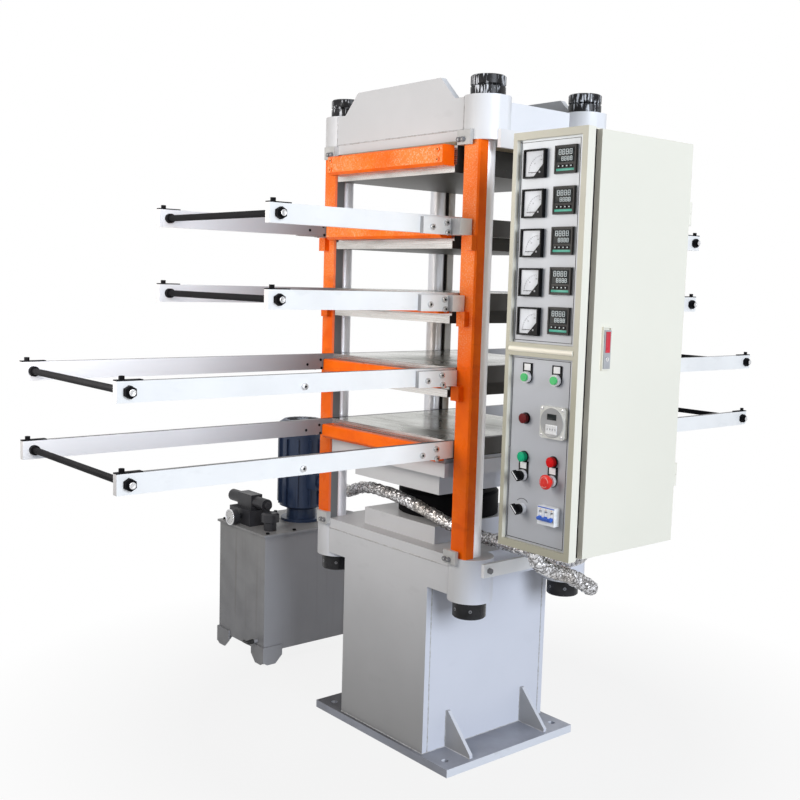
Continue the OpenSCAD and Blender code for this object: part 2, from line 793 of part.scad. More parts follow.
// Folded shell with a framed front, open at the door's side, with hinge pins and cable glands
module cabinet_shell() color("beige") {
  difference() {
    union() {
      span([cab_x, -cab_front, cab_z], [cab_right, cab_back, cab_top]);
      span([cab_right - 1, -cab_front, cab_z], [frame_right, -cab_front + frame_fold, cab_top]);
    }
    span([cab_x + cab_sheet, -cab_front + frame_d, cab_z + cab_sheet],
         [cab_right + 1, cab_back - cab_sheet, cab_top - cab_sheet]);
    span([window_left, -cab_front - 1, window_z], [window_right, panel_y + 1, window_mid]);
    span([window_left, -cab_front - 1, window_mid + cross_bar], [window_right, panel_y + 1, window_top]);
    cable_hole(conduit_gland_x, conduit_gland_y, conduit_d);
    cable_hole(tail_gland_x, tail_gland_y, tail_d);
  }
  for (z = hinge_heights) translate([hinge_x, hinge_y, z]) {
    cylinder(r = knuckle_r, h = knuckle_h);
    cylinder(r = hinge_pin, h = 2 * knuckle_h);
    span([-knuckle_r - 18, cab_back - hinge_y, 0], [0, 5, knuckle_h]);
  }
  cable_gland(conduit_gland_x, conduit_gland_y, conduit_d);
  cable_gland(tail_gland_x, tail_gland_y, tail_d);
}

// Hole in the cabinet's floor for a cable gland
module cable_hole(x, y, d) translate([x, y, cab_z - 1]) cylinder(d = d, h = cab_sheet + 2);

// Ring gland under the cabinet's floor
module cable_gland(x, y, d) translate([x, y, cab_z - gland_nut]) cylinder(d = d + gland_over, h = gland_nut);

// Positions of the instruments down the upper panel
function row_z(i) = meter_z - i * meter_pitch;
controller_rise = 5;
function controller_z(i) = row_z(i) + controller_rise;

module panel_hole(x, z, d) translate([x, 0, z]) rod_y(panel_y - 1, panel_y + panel_t + 1, d);
module panel_square(x, z, w, h)
  span([x - w / 2, panel_y - 1, z - h / 2], [x + w / 2, panel_y + panel_t + 1, z + h / 2]);

controller_lap = 3;
controller_hole = controller - 2 * controller_lap + 2 * body_fit;
timer_lap = 4;
timer_hole = timer - 2 * timer_lap + 2 * body_fit;
// Instrument panel above and control panel below, with their cut-outs
module cabinet_panels() color("lightgray") difference() {
  union() {
    span([cab_x + cab_sheet, panel_y, window_z - panel_lap],
         [cab_right + panel_fit, panel_y + panel_t, window_mid + panel_lap]);
    span([cab_x + cab_sheet, panel_y, window_mid + cross_bar - panel_lap],
         [cab_right + panel_fit, panel_y + panel_t, window_top + panel_lap]);
  }
  for (i = [0:row_n - 1]) {
    panel_hole(left_x, row_z(i), 2 * meter_body_r + 2 * panel_fit);
    panel_square(right_x, controller_z(i), controller_hole, controller_hole);
  }
  for (x = [left_x, right_x]) {
    panel_hole(x, button_z, knob_d + 1);
    panel_hole(x, select_z, knob_d + 1);
    panel_hole(x, lamp_z, knob_d + 1);
  }
  panel_hole(left_x, timer_z, knob_d + 1);
  panel_hole(left_x, low_z, knob_d + 1);
  panel_square(right_x, timer_z, timer_hole, timer_hole);
  panel_square(right_x, low_z, breaker_w + 2 * panel_fit, breaker_h + 2 * panel_fit);
}

// Side door with folded rim, hinge knuckles and the lock's base plate
door_rim = 4;
door_slack = 0.5;
door_back = cab_back - door_slack;
knuckle_gap = 0.5;
handle_in = 48;
handle_rise = 520;
handle_y = door_front + handle_in;
handle_z = cab_z + handle_rise;
handle_w = 25;
handle_h = 95;
handle_t = 8;
handle_fit = 0.5;
lock_x = door_x + door_t;
lock_t = 6;
lock_rim = 3;
lock_room = 4;
flap_pin_d = 2;
flap_pin_x = lock_x + 4;
flap_pin_z = handle_z + handle_h / 2 - 3.5;
module cabinet_door() color("beige") {
  difference() {
    union() {
      span([door_x, door_front, cab_z + door_rim], [lock_x, door_back, cab_top - door_rim]);
      for (z = hinge_heights) translate([hinge_x, hinge_y, z + knuckle_h + knuckle_gap]) {
        cylinder(r = knuckle_r, h = knuckle_h);
        span([-knuckle_r + 1, door_back - hinge_y - 1, 0], [knuckle_r - 1, 0, knuckle_h]);
      }
    }
    span([door_x - 1, door_front + cab_sheet, cab_z + door_rim + cab_sheet],
         [lock_x - cab_sheet, door_back - cab_sheet, cab_top - door_rim - cab_sheet]);
    for (z = hinge_heights) translate([hinge_x, hinge_y, z + knuckle_h])
      cylinder(r = hinge_pin + pin_clear, h = knuckle_h + 1);
  }
  color("silver") {
    difference() {
      span([lock_x, handle_y - handle_w / 2 - lock_rim, handle_z - handle_h / 2 - lock_rim],
           [lock_x + lock_t, handle_y + handle_w / 2 + lock_rim,
            handle_z + handle_h / 2 + lock_room + lock_rim]);
      span([lock_x + 1, handle_y - handle_w / 2, handle_z - handle_h / 2],
           [lock_x + lock_t + 1, handle_y + handle_w / 2, handle_z + handle_h / 2 + lock_room]);
    }
    translate([flap_pin_x, 0, flap_pin_z])
      rod_y(handle_y - handle_w / 2 - 1, handle_y + handle_w / 2 + 1, flap_pin_d);
  }
}

// Flap handle of the door lock, hung on the pin near its upper end
module door_handle() color("silver") difference() {
  back = lock_x + 1 + handle_fit;
  top = handle_z + handle_h / 2 - handle_fit;
  low = handle_z - handle_h / 2 + handle_fit;
  nose = 2;
  along_y(handle_y - handle_w / 2 + handle_fit, handle_y + handle_w / 2 - handle_fit) polygon([
    [back, low], [lock_x + handle_t, low], [lock_x + handle_t, top], [back + nose, top], [back, top - nose]
  ]);
  translate([lock_x + handle_t, handle_y, handle_z - handle_h / 4]) rod_x(-2, 1, handle_w / 2);
  translate([flap_pin_x, 0, flap_pin_z])
    rod_y(handle_y - handle_w, handle_y + handle_w, flap_pin_d + 2 * pin_clear);
}

// Mounting plate on four standoffs, with contactors, relays and a terminal strip
contactor_n = 5;
plate_t = 3;
plate_low = 50;
plate_high = 60;
plate_front_gap = 80;
plate_back_gap = 40;
standoff_h = 14;
standoff_d = 12;
standoff_in = 20;
standoff_rise = 30;
device_edge = 12;
device_pitch = 50;
device_w = 45;
contactor_rise = 480;
contactor_d = 65;
contactor_h = 80;
relay_rise = 660;
relay_d = 35;
relay_h = 60;
strip_rise = 120;
strip_d = 37;
strip_h = 45;
strip_edge = 10;
module component_plate() color("lightgray") {
  x0 = cab_x + cab_sheet;
  x1 = x0 + standoff_h;
  face = x1 + plate_t;
  back = cab_back - plate_back_gap;
  front = panel_y + plate_front_gap;
  low = cab_z + plate_low;
  high = cab_top - plate_high;
  for (y = [front + standoff_in, back - standoff_in], z = [low + standoff_rise, high - standoff_rise])
    translate([0, y, z]) rod_x(x0, x1, standoff_d);
  span([x1, front, low], [face, back, high]);
  color("dimgray") {
    for (i = [0:contactor_n - 1]) {
      y = front + device_edge + i * device_pitch;
      span([face, y, cab_z + contactor_rise],
           [face + contactor_d, y + device_w, cab_z + contactor_rise + contactor_h]);
      span([face, y, cab_z + relay_rise], [face + relay_d, y + device_w, cab_z + relay_rise + relay_h]);
    }
    span([face, front + strip_edge, cab_z + strip_rise],
         [face + strip_d, back - strip_edge, cab_z + strip_rise + strip_h]);
  }
}

// Bars and arms that hold the cabinet to the right-hand bosses
bar_end = 20;
bar_drop = 50;
clip_h = 50;
arm_wall = 3;
module cabinet_brackets() color("whitesmoke") {
  flat = column_x + boss_d / 2 - boss_flat;
  end = column_y + bar_end;
  low = lower_top - bar_drop;
  upright = flat + bracket_t;
  upright_x = upright + weld_gap;
  upright_y = -arm_w / 2;
  upright_top = cab_top - 60;
  span([flat, -end, low], [upright, end, low + arm_w]);
  span([flat, -end, cab_top], [upright, end, cab_top + clip_h]);
  difference() {
    span([upright_x, upright_y, low], [upright + arm_w, upright_y + arm_w, upright_top]);
    span([upright_x + arm_wall, upright_y + arm_wall, low + arm_wall],
         [upright + arm_w - arm_wall, upright_y + arm_w - arm_wall, upright_top + 1]);
  }
  for (z = [cab_z + 60, cab_top - 160])
    span([upright + arm_w + weld_gap, upright_y, z], [cab_x, upright_y + arm_w, z + arm_w]);
  span([upright_x, upright_y, cab_top], [cab_x + cab_w / 2, upright_y + arm_w, cab_top + bracket_t]);
  for (y = [-column_y, column_y])
    translate([upright, y, low + arm_w / 2]) rod_x(0, 9, 18, 6);
}

// Instruments

// Ammeter case: square bezel with a sunk dial, a corner cover over the pivot and a round body
meter_rim = 4;
meter_body_l = 40;
dial_depth = 7;
corner_front = 0.5;
corner_back = 2.5;
corner_leg = 29;
pivot_d = 2;
module meter_case(x, z) translate([x, 0, z]) {
  front = panel_y - meter_h;
  half = meter / 2 - meter_rim;
  difference() {
    union() {
      span([-meter / 2, front, -meter / 2], [meter / 2, panel_y, meter / 2]);
      rod_y(panel_y - 1, panel_y + meter_body_l, 2 * meter_body_r);
    }
    span([-half, front - 1, -half], [half, front + dial_depth, half]);
  }
  along_y(front + corner_front, front + corner_back)
    polygon([[half, -half], [half, corner_leg - half], [half - corner_leg, -half]]);
  translate([needle_dx, 0, -needle_dx]) rod_y(front + corner_back, front + dial_depth, pivot_d);
}

module ammeter_cases() color("black") for (i = [0:row_n - 1]) meter_case(left_x, row_z(i));

// Pointer on its pivot, at rest on the dial's zero
needle_l = 41;
needle_w = 1.2;
needle_t = 1;
hub_d = 7;
hub_t = 1.6;
module needle(i) color("black") translate([left_x + needle_dx, 0, row_z(i) - needle_dx]) difference() {
  union() {
    span([-needle_l, needle_y - needle_t / 2, -needle_w / 2], [0, needle_y + needle_t / 2, needle_w / 2]);
    rod_y(needle_y - hub_t / 2, needle_y + hub_t / 2, hub_d);
  }
  rod_y(needle_y - hub_t, needle_y + hub_t, pivot_d + 2 * pin_clear);
}

module needle_1() needle(0);
module needle_2() needle(1);
module needle_3() needle(2);
module needle_4() needle(3);
module needle_5() needle(4);

// Temperature controllers: square bezel with a sunk face and a body behind the panel
controller_rim = 4;
controller_front = 8;
controller_sink = 2;
controller_body_l = 60;
module controller_cases() color("dimgray")
  for (i = [0:row_n - 1]) translate([right_x, 0, controller_z(i)]) {
  half = controller / 2;
  body = half - controller_lap;
  face = half - controller_rim;
  front = panel_y - controller_front;
  difference() {
    union() {
      span([-half, front, -half], [half, panel_y, half]);
      span([-body, panel_y - 1, -body], [body, panel_y + controller_body_l, body]);
    }
    span([-face, front - 1, -face], [face, front + controller_sink, face]);
  }
}

// Timer: case with round corners and a round face just proud of it
timer_front = 12;
timer_corner = 8;
timer_face = 1;
timer_face_edge = 3;
timer_body_l = 65;
module timer_case() color("whitesmoke") translate([right_x, 0, timer_z]) {
  half = timer / 2;
  core = half - timer_corner;
  body = half - timer_lap;
  front = panel_y - timer_front;
  span([-half, front, -core], [half, panel_y, core]);
  span([-core, front, -half], [core, panel_y, half]);
  for (x = [-core, core], z = [-core, core]) translate([x, 0, z]) rod_y(front, panel_y, 2 * timer_corner);
  rod_y(front - timer_face, front, timer - 2 * timer_face_edge);
  span([-body, panel_y, -body], [body, panel_y + timer_body_l, body]);
}

// Pilot lamps: two on the left, one on the right
lamp_places = [[left_x, timer_z], [left_x, lamp_z], [right_x, lamp_z]];
lamp_flange = 3;
lamp_body_l = 40;
lens_d = 24;
lens_h = 11;
lens_edge = 3;
module pilot_lamps() color("darkred") for (p = lamp_places) translate([p[0], 0, p[1]]) {
  rod_y(panel_y - lamp_flange, panel_y, collar_d);
  rod_y(panel_y, panel_y + lamp_body_l, knob_d);
  translate([0, panel_y - lamp_flange, 0]) rotate([90, 0, 0]) rotate_extrude() polygon([
    [0, 0], [lens_d / 2, 0], [lens_d / 2, lens_h - lens_edge], [lens_d / 2 - lens_edge, lens_h], [0, lens_h]
  ]);
}

// Threaded collars of the buttons and selector knobs
collar_places = [
  [left_x, button_z], [right_x, button_z], [left_x, select_z], [right_x, select_z], [left_x, low_z]
];
module switch_collars() color("silver") for (p = collar_places) translate([p[0], 0, p[1]]) difference() {
  rod_y(panel_y - collar_h, panel_y, collar_d);
  rod_y(panel_y - collar_h - 1, panel_y + 1, knob_d + 2 * pin_clear);
}

// Flush push button
module push_button(x, z) translate([x, 0, z])
  rod_y(panel_y - collar_h - 5, panel_y + 14, knob_d);
module close_button() color("green") push_button(left_x, button_z);
module open_button() color("green") push_button(right_x, button_z);

// Selector knob with a raised grip
module selector(x, z, angle) translate([x, 0, z]) {
  rod_y(panel_y - collar_h - 3, panel_y + 14, knob_d);
  rod_y(panel_y - collar_h - 9, panel_y - collar_h - 0.5, collar_d - 3);
  rotate([0, angle, 0])
    span([-4, panel_y - collar_h - 20, -collar_d / 2 + 1], [4, panel_y - collar_h - 8, collar_d / 2 + 1]);
}
module mode_selector() color("black") selector(left_x, select_z, -45);
module power_selector() color("black") selector(left_x, low_z, -45);

// Mushroom-headed stop button
module stop_button() color("red") translate([right_x, 0, select_z]) {
  rod_y(panel_y - collar_h - 10, panel_y + 14, knob_d);
  translate([0, panel_y - collar_h - plunger_travel - 4, 0]) rotate([90, 0, 0]) rotate_extrude() polygon([
    [0, 0], [14, 0], [18.5, 4], [18.5, 8], [16, 11], [10, 12.5], [0, 13]
  ]);
}

// Breaker body with a nose through the panel and a slot for each pole's toggle
breaker_nose = 20;
breaker_body_d = 50;
breaker_step = 18;
pole_n = 3;
pole_w = breaker_w / pole_n;
slot_w = 11;
slot_depth = 20;
toggle_w = 9;
toggle_t = 5;
bar_t = 7;
bar_reach = 5;
lever_r = 5;
lever_pin_d = 6;
lever_slot = 24;
lever_sink = 10;
lever_reach = lever_sink + 10;
lever_tilt = 25;
lever_y = panel_y - breaker_nose + lever_sink;
axle_seat = 2.5;
axle_play = 0.5;
axle_half = (pole_n - 1) / 2 * pole_w + slot_w / 2 + axle_seat;
bar_half = (pole_n - 1) / 2 * pole_w + toggle_w / 2;
function pole_x(i) = (i - (pole_n - 1) / 2) * pole_w;
module breaker_body() color("white") translate([right_x, 0, low_z]) difference() {
  union() {
    span([-breaker_w / 2, panel_y - breaker_nose, -breaker_h / 2],
         [breaker_w / 2, panel_y + breaker_body_d - 10, breaker_h / 2]);
    span([-breaker_w / 2, panel_y + panel_t + 3, -breaker_h / 2 - breaker_step],
         [breaker_w / 2, panel_y + breaker_body_d, breaker_h / 2 + breaker_step]);
  }
  for (i = [0:pole_n - 1]) translate([pole_x(i), panel_y - breaker_nose, 0])
    span([-slot_w / 2, -1, -lever_slot / 2], [slot_w / 2, slot_depth, lever_slot / 2]);
  translate([0, lever_y, 0])
    rod_x(-axle_half - axle_play, axle_half + axle_play, lever_pin_d + 2 * pin_clear);
}

// Toggles of the breaker's poles on one bar, thrown down
module breaker_lever() color("royalblue") translate([right_x, lever_y, low_z]) {
  rod_x(-axle_half, axle_half, lever_pin_d);
  for (i = [0:pole_n - 1]) translate([pole_x(i), 0, 0]) {
    rod_x(-toggle_w / 2, toggle_w / 2, 2 * lever_r);
    rotate([lever_tilt, 0, 0])
      span([-toggle_w / 2, -lever_reach, -toggle_t / 2], [toggle_w / 2, 0, toggle_t / 2]);
  }
  rotate([lever_tilt, 0, 0])
    span([-bar_half, -lever_reach, -bar_t / 2], [bar_half, -lever_reach + bar_reach, bar_t / 2]);
}

// Power unit

// Folded corner foot of the tank, with chamfered lower corners
foot_w = 80;
foot_t = 6;
foot_lap = 20;
foot_nose = 8;
foot_slant = 30;
module tank_foot() translate([-seat, -seat, 0]) {
  outline = [
    [0, tank_z + foot_lap], [0, foot_nose], [foot_nose * 1.5, 0], [foot_w - foot_slant, 0],
    [foot_w, foot_slant], [foot_w, tank_z + foot_lap]
  ];
  along_y(-foot_t, 0) polygon(outline);
  mirror([1, -1, 0]) along_y(-foot_t, 0) polygon(outline);
  span([-foot_t, -foot_t, foot_nose], [0, 0, tank_z + foot_lap]);
}

lid_lap = 8;
tank_wall = 4;
drain_in = 50;
drain_rise = 34;
drain_d = 18;
drain_l = 30;
drain_stem = 10;
drain_grip = 6;
drain_lever = 26;
// Tank body with its four feet, lid and drain valve
module oil_tank() color("gray") {
  x0 = -tank_x;
  y0 = -tank_front;
  difference() {
    span([x0, y0, tank_z], [x0 + tank_w, y0 + tank_l, tank_top]);
    span([x0 + tank_wall, y0 + tank_wall, tank_z + tank_wall],
         [x0 + tank_w - tank_wall, y0 + tank_l - tank_wall, tank_top - tank_wall]);
  }
  for (mx = [0, 1], my = [0, 1])
    translate([x0 + mx * tank_w, y0 + my * tank_l, 0]) mirror([mx, 0, 0]) mirror([0, my, 0]) tank_foot();
  color("dimgray") span([x0 - lid_lap, y0 - lid_lap, tank_top + seat],
                        [x0 + tank_w + lid_lap, y0 + tank_l + lid_lap, lid_top]);
  color("black") translate([x0 + tank_w - drain_in, y0, tank_z + drain_rise]) {
    rod_y(-drain_l, -seat, drain_d);
    span([-drain_d / 3, -drain_l - drain_stem, -drain_d / 3], [drain_d / 3, -drain_l, drain_d / 3]);
    span([-drain_lever, -drain_l - drain_stem - drain_grip, -drain_d / 4],
         [drain_d / 2, -drain_l - drain_stem, drain_d / 4]);
  }
}

// Upright pump motor: bell housing, ribbed body, fan cowl and terminal box
motor_ribs = 12;
bell_flange_r = 80;
bell_flange_h = 10;
bell_r = 58;
bell_slope = 12;
rib_t = 5;
rib_out = 2;
rib_root = 12;
rib_end = 10;
shell_in = 8;
cowl_in = 2;
cowl_h = 62;
cowl_round = 12;
cowl_crown = 20;
box_root = 20;
gland_over = 14;
module pump_motor() color("steelblue") {
  r = motor_d / 2;
  top = motor_foot_h + motor_h;
  translate([motor_x, motor_y, lid_top]) {
    rotate_extrude() polygon([
      [0, 0], [bell_flange_r, 0], [bell_flange_r, bell_flange_h], [bell_r, bell_flange_h],
      [bell_r, motor_foot_h - bell_slope], [r - shell_in, motor_foot_h], [r - shell_in, top],
      [r - cowl_in, top], [r - cowl_in, top + cowl_h - cowl_round], [r - cowl_crown, top + cowl_h],
      [0, top + cowl_h]
    ]);
    for (i = [0:motor_ribs - 1]) rotate([0, 0, (i + 0.5) * 360 / motor_ribs])
      span([r - rib_root, -rib_t / 2, motor_foot_h + rib_end], [r + rib_out, rib_t / 2, top - rib_end]);
  }
  span([motor_x + r - box_root, motor_y - terminal_w / 2, terminal_z - terminal_h / 2],
       [terminal_x, motor_y + terminal_w / 2, terminal_z + terminal_h / 2]);
  translate([0, motor_y, terminal_z]) rod_x(terminal_x - 1, terminal_x + gland_nut, conduit_d + gland_over);
}

// Manifold on the lid, with a solenoid valve across it, a gauge and a filler cap
manifold_in_x = 30;
manifold_in_y = 24;
manifold_w = 150;
manifold_d = 90;
manifold_h = 60;
valve_w = 100;
valve_d = 50;
valve_h = 56;
coil_d = 46;
coil_l = 73;
coil_cap_d = 28;
coil_cap_l = 14;
gauge_stem_d = 18;
gauge_stem_l = 18;
gauge_d = 60;
gauge_l = 24;
filler_in = 60;
filler_neck_d = 48;
filler_neck_h = 30;
filler_d = 68;
filler_h = 38;
filler_edge = 8;
filler_under = 4;
module valve_block() color("dimgray") {
  x0 = -tank_x + manifold_in_x;
  y0 = -tank_front + manifold_in_y;
  valve_z = lid_top + manifold_h;
  translate([x0, y0, lid_top]) cube([manifold_w, manifold_d, manifold_h]);
  translate([x0 + manifold_w / 2, y0 + manifold_d / 2, valve_z]) {
    span([-valve_w / 2, -valve_d / 2, 0], [valve_w / 2, valve_d / 2, valve_h]);
    for (mx = [0, 1]) mirror([mx, 0, 0]) translate([valve_w / 2, 0, valve_h / 2]) {
      rod_x(0, coil_l, coil_d);
      rod_x(coil_l, coil_l + coil_cap_l, coil_cap_d);
    }
  }
  translate([x0 + manifold_w / 2, 0, lid_top + manifold_h / 2]) {
    rod_y(y0 - gauge_stem_l, y0, gauge_stem_d);
    rod_y(y0 - gauge_stem_l - gauge_l, y0 - gauge_stem_l, gauge_d);
  }
  translate([-tank_x + tank_w - filler_in, -tank_front + filler_in, lid_top]) rotate_extrude() polygon([
    [0, 0], [filler_neck_d / 2, 0], [filler_neck_d / 2, filler_neck_h],
    [filler_d / 2, filler_neck_h + filler_under], [filler_d / 2, filler_neck_h + filler_h - filler_edge + 2],
    [filler_d / 2 - filler_edge, filler_neck_h + filler_h], [0, filler_neck_h + filler_h]
  ]);
}

module wiring_conduit() color("silver") tube(conduit_route, conduit_d);
module supply_tail() color("silver") tube(tail_route, tail_d);

base_plate();
pedestal_plates();
column_bosses();
tie_columns();
column_nuts();
upper_beam();
guide_posts();
hanger_steps();
post_tabs();
cylinder_barrel();
cylinder_gland();
insulation_board();
platen_top();
cover_top();
ram();
moving_table();
platen_bottom();
cover_bottom();
rails_bottom();
rods_bottom();
platen_lower();
cover_lower();
rails_lower();
rods_lower();
platen_middle();
cover_middle();
rails_middle();
rods_middle();
platen_upper();
cover_upper();
rails_upper();
rods_upper();
cabinet_shell();
cabinet_panels();
cabinet_door();
door_handle();
component_plate();
cabinet_brackets();
ammeter_cases();
needle_1();
needle_2();
needle_3();
needle_4();
needle_5();
controller_cases();
timer_case();
pilot_lamps();
switch_collars();
close_button();
open_button();
mode_selector();
power_selector();
stop_button();
breaker_body();
breaker_lever();
oil_tank();
pump_motor();
valve_block();
wiring_conduit();
supply_tail();
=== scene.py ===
"""Looks of a rubber vulcanizing press: finishes, fittings, wrapped cords and a studio stage."""
import math
import random

import bpy
from mathutils import Matrix, Vector


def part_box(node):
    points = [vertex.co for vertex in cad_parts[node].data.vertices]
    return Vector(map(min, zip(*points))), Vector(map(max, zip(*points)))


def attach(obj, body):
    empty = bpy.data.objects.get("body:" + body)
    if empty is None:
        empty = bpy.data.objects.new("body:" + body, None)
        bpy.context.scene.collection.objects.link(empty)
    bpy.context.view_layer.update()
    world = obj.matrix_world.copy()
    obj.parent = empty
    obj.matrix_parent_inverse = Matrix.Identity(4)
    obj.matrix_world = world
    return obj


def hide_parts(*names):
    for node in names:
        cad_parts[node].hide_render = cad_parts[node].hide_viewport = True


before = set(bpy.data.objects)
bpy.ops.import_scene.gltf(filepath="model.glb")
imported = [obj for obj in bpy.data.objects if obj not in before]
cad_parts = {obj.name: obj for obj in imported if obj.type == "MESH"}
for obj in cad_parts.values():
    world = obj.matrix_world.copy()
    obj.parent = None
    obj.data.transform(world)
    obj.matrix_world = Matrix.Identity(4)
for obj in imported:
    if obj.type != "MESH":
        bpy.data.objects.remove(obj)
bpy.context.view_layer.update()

bl_info = {
    "name": "Rubber vulcanizing press",
    "version": (1, 0, 0),
    "blender": (4, 5, 0),
    "location": "3D View > Sidebar > Press",
    "description": "Dresses the press with paint, fittings, instruments, wrapped cords and a stage",
    "category": "Object",
}

MM = 0.001
FRONT = Vector((0, -1, 0))
REAR = Vector((0, 1, 0))
RIGHT = Vector((1, 0, 0))
LEFT = Vector((-1, 0, 0))
UP = Vector((0, 0, 1))
ORIGIN = (0, 0, 0)
BOTH = (1, -1)

# Routes of the two cords, in metres, from gland to end
CONDUIT_ROUTE = [
    (-0.773, 0.060, 0.673), (-0.733, 0.060, 0.673), (-0.660, 0.052, 0.676), (-0.590, 0.024, 0.684),
    (-0.520, -0.020, 0.696), (-0.450, -0.070, 0.710), (-0.390, -0.110, 0.724), (-0.330, -0.142, 0.741),
    (-0.270, -0.166, 0.760), (-0.210, -0.184, 0.776), (-0.140, -0.197, 0.784), (-0.060, -0.203, 0.784),
    (0.020, -0.205, 0.777), (0.100, -0.205, 0.764), (0.165, -0.202, 0.750), (0.215, -0.192, 0.735),
    (0.265, -0.172, 0.720), (0.320, -0.146, 0.708), (0.380, -0.122, 0.700), (0.450, -0.108, 0.694),
    (0.530, -0.102, 0.690), (0.600, -0.104, 0.696), (0.650, -0.108, 0.716), (0.675, -0.110, 0.744),
    (0.680, -0.110, 0.762), (0.680, -0.110, 0.778),
]
TAIL_ROUTE = [
    (0.700, -0.335, 0.778), (0.700, -0.335, 0.764), (0.701, -0.328, 0.748), (0.702, -0.308, 0.732),
    (0.703, -0.275, 0.717), (0.704, -0.230, 0.700), (0.705, -0.185, 0.681), (0.706, -0.140, 0.658),
    (0.707, -0.098, 0.632),
]

# Bodies that carry the four rail pairs
TIER_BODIES = {"bottom": "table", "lower": "lower_tier", "middle": "middle_tier", "upper": "upper_tier"}

# Places on the frame, the rails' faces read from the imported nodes
COLUMN_X = 327 * MM
COLUMN_Y = 206 * MM
PEDESTAL_HALF = 205 * MM
RAIL_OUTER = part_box("rails_bottom")[1].x
RAIL_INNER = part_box("platen_lower")[1].x
LUG_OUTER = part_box("rails_lower")[1].x


def middle(node):
    """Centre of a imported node's box."""
    low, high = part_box(node)
    return (low + high) / 2


def mm(*numbers):
    """Point given in millimetres, in metres."""
    return Vector(numbers) * MM


def clock(degrees):
    """Unit arrow in the panel's plane, turned from the right towards the top."""
    turn = math.radians(degrees)
    return Vector((math.cos(turn), 0, math.sin(turn)))


# Places on the panels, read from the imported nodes
PANEL_LOW, PANEL_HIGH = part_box("cabinet_panels")
PANEL_Y = PANEL_LOW.y
METER_LOW, METER_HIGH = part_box("ammeter_cases")
METER_SIDE = METER_HIGH.x - METER_LOW.x
METER_X = middle("ammeter_cases").x
METER_PIVOT = METER_SIDE * 0.3
CONTROL_LOW, CONTROL_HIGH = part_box("controller_cases")
CONTROL_X = middle("controller_cases").x
CONTROL_TOP = CONTROL_HIGH.z - (CONTROL_HIGH.x - CONTROL_LOW.x) / 2
ROW_COUNT = 5
ROW_PITCH = (METER_HIGH.z - METER_LOW.z - METER_SIDE) / (ROW_COUNT - 1)
METER_ROWS = [METER_HIGH.z - METER_SIDE / 2 - i * ROW_PITCH for i in range(ROW_COUNT)]
CONTROL_ROWS = [CONTROL_TOP - i * ROW_PITCH for i in range(ROW_COUNT)]

# Windows of the cabinet's front, lower and upper, as opposite corners
WINDOW_LEFT = PANEL_LOW.x + 10 * MM
WINDOW_RIGHT = PANEL_HIGH.x - 3.5 * MM
WINDOW_SILL = PANEL_LOW.z + 8 * MM
WINDOW_HEAD = PANEL_HIGH.z - 8 * MM
LOWER_WINDOW = 475 * MM
UPPER_WINDOW = 500 * MM
WINDOWS = [
    (Vector((WINDOW_LEFT, PANEL_Y, foot)), Vector((WINDOW_RIGHT, PANEL_Y, head)))
    for foot, head in ((WINDOW_SILL, WINDOW_SILL + LOWER_WINDOW), (WINDOW_HEAD - UPPER_WINDOW, WINDOW_HEAD))
]


# Settings

def colour(name, description, default):
    """Colour setting with its default."""
    return bpy.props.FloatVectorProperty(
        name=name, description=description, subtype="COLOR", size=3, min=0, max=1, default=default)


def length(name, description, default):
    """Length setting with its default, in metres."""
    return bpy.props.FloatProperty(
        name=name, description=description, default=default, unit="LENGTH", min=0, precision=4)


def angle(name, description, degrees):
    """Angle setting with its default, in degrees."""
    return bpy.props.FloatProperty(
        name=name, description=description, subtype="ANGLE", default=math.radians(degrees))


def number(name, description, default):
    """Plain number setting with its default."""
    return bpy.props.FloatProperty(name=name, description=description, default=default)


class PressColours(bpy.types.PropertyGroup):
    """Colours of the press's finishes"""
    frame_paint: colour("Frame paint", "Light grey paint of the frame and table", (0.63, 0.635, 0.65))
    base_paint: colour("Base paint", "Mid-grey paint of the base plate", (0.35, 0.365, 0.42))
    orange_paint: colour("Orange paint", "Paint of the posts and covers", (1.0, 0.165, 0.005))
    rail_paint: colour("Rail paint", "White paint of the tray rails", (0.94, 0.94, 0.93))
    cabinet_paint: colour("Cabinet paint", "Cream powder coat of the cabinet's door", (0.80, 0.78, 0.68))
    # The shell's beige front is painted shade on the cream coat.
    front_shade_beige: colour("Cabinet front", "Beige powder coat of the cabinet's front", (0.45, 0.43, 0.33))
    panel_grey: colour("Panel grey", "Satin grey of the two panels", (0.48, 0.495, 0.53))
    tank_paint: colour("Tank paint", "Grey paint of the oil tank", (0.26, 0.26, 0.27))
    motor_paint: colour("Motor paint", "Dark blue paint of the pump motor", (0.025, 0.045, 0.10))


class PressSizes(bpy.types.PropertyGroup):
    """Sizes of the press's small fittings"""
    weld_bead: length("Weld bead", "Radius of the weld beads", 0.0024)
    screw_radius: length("Screw head radius", "Radius of the socket screws' heads", 0.0085)
    screw_height: length("Screw head height", "Height of the socket screws' heads", 0.010)
    conduit_width: length("Conduit diameter", "Diameter of the wrapped wiring conduit", 0.040)
    tail_width: length("Tail diameter", "Diameter of the wrapped supply tail", 0.044)
    crinkle: length("Foil crinkle", "Depth of the creases in the foil wrap", 0.0028)


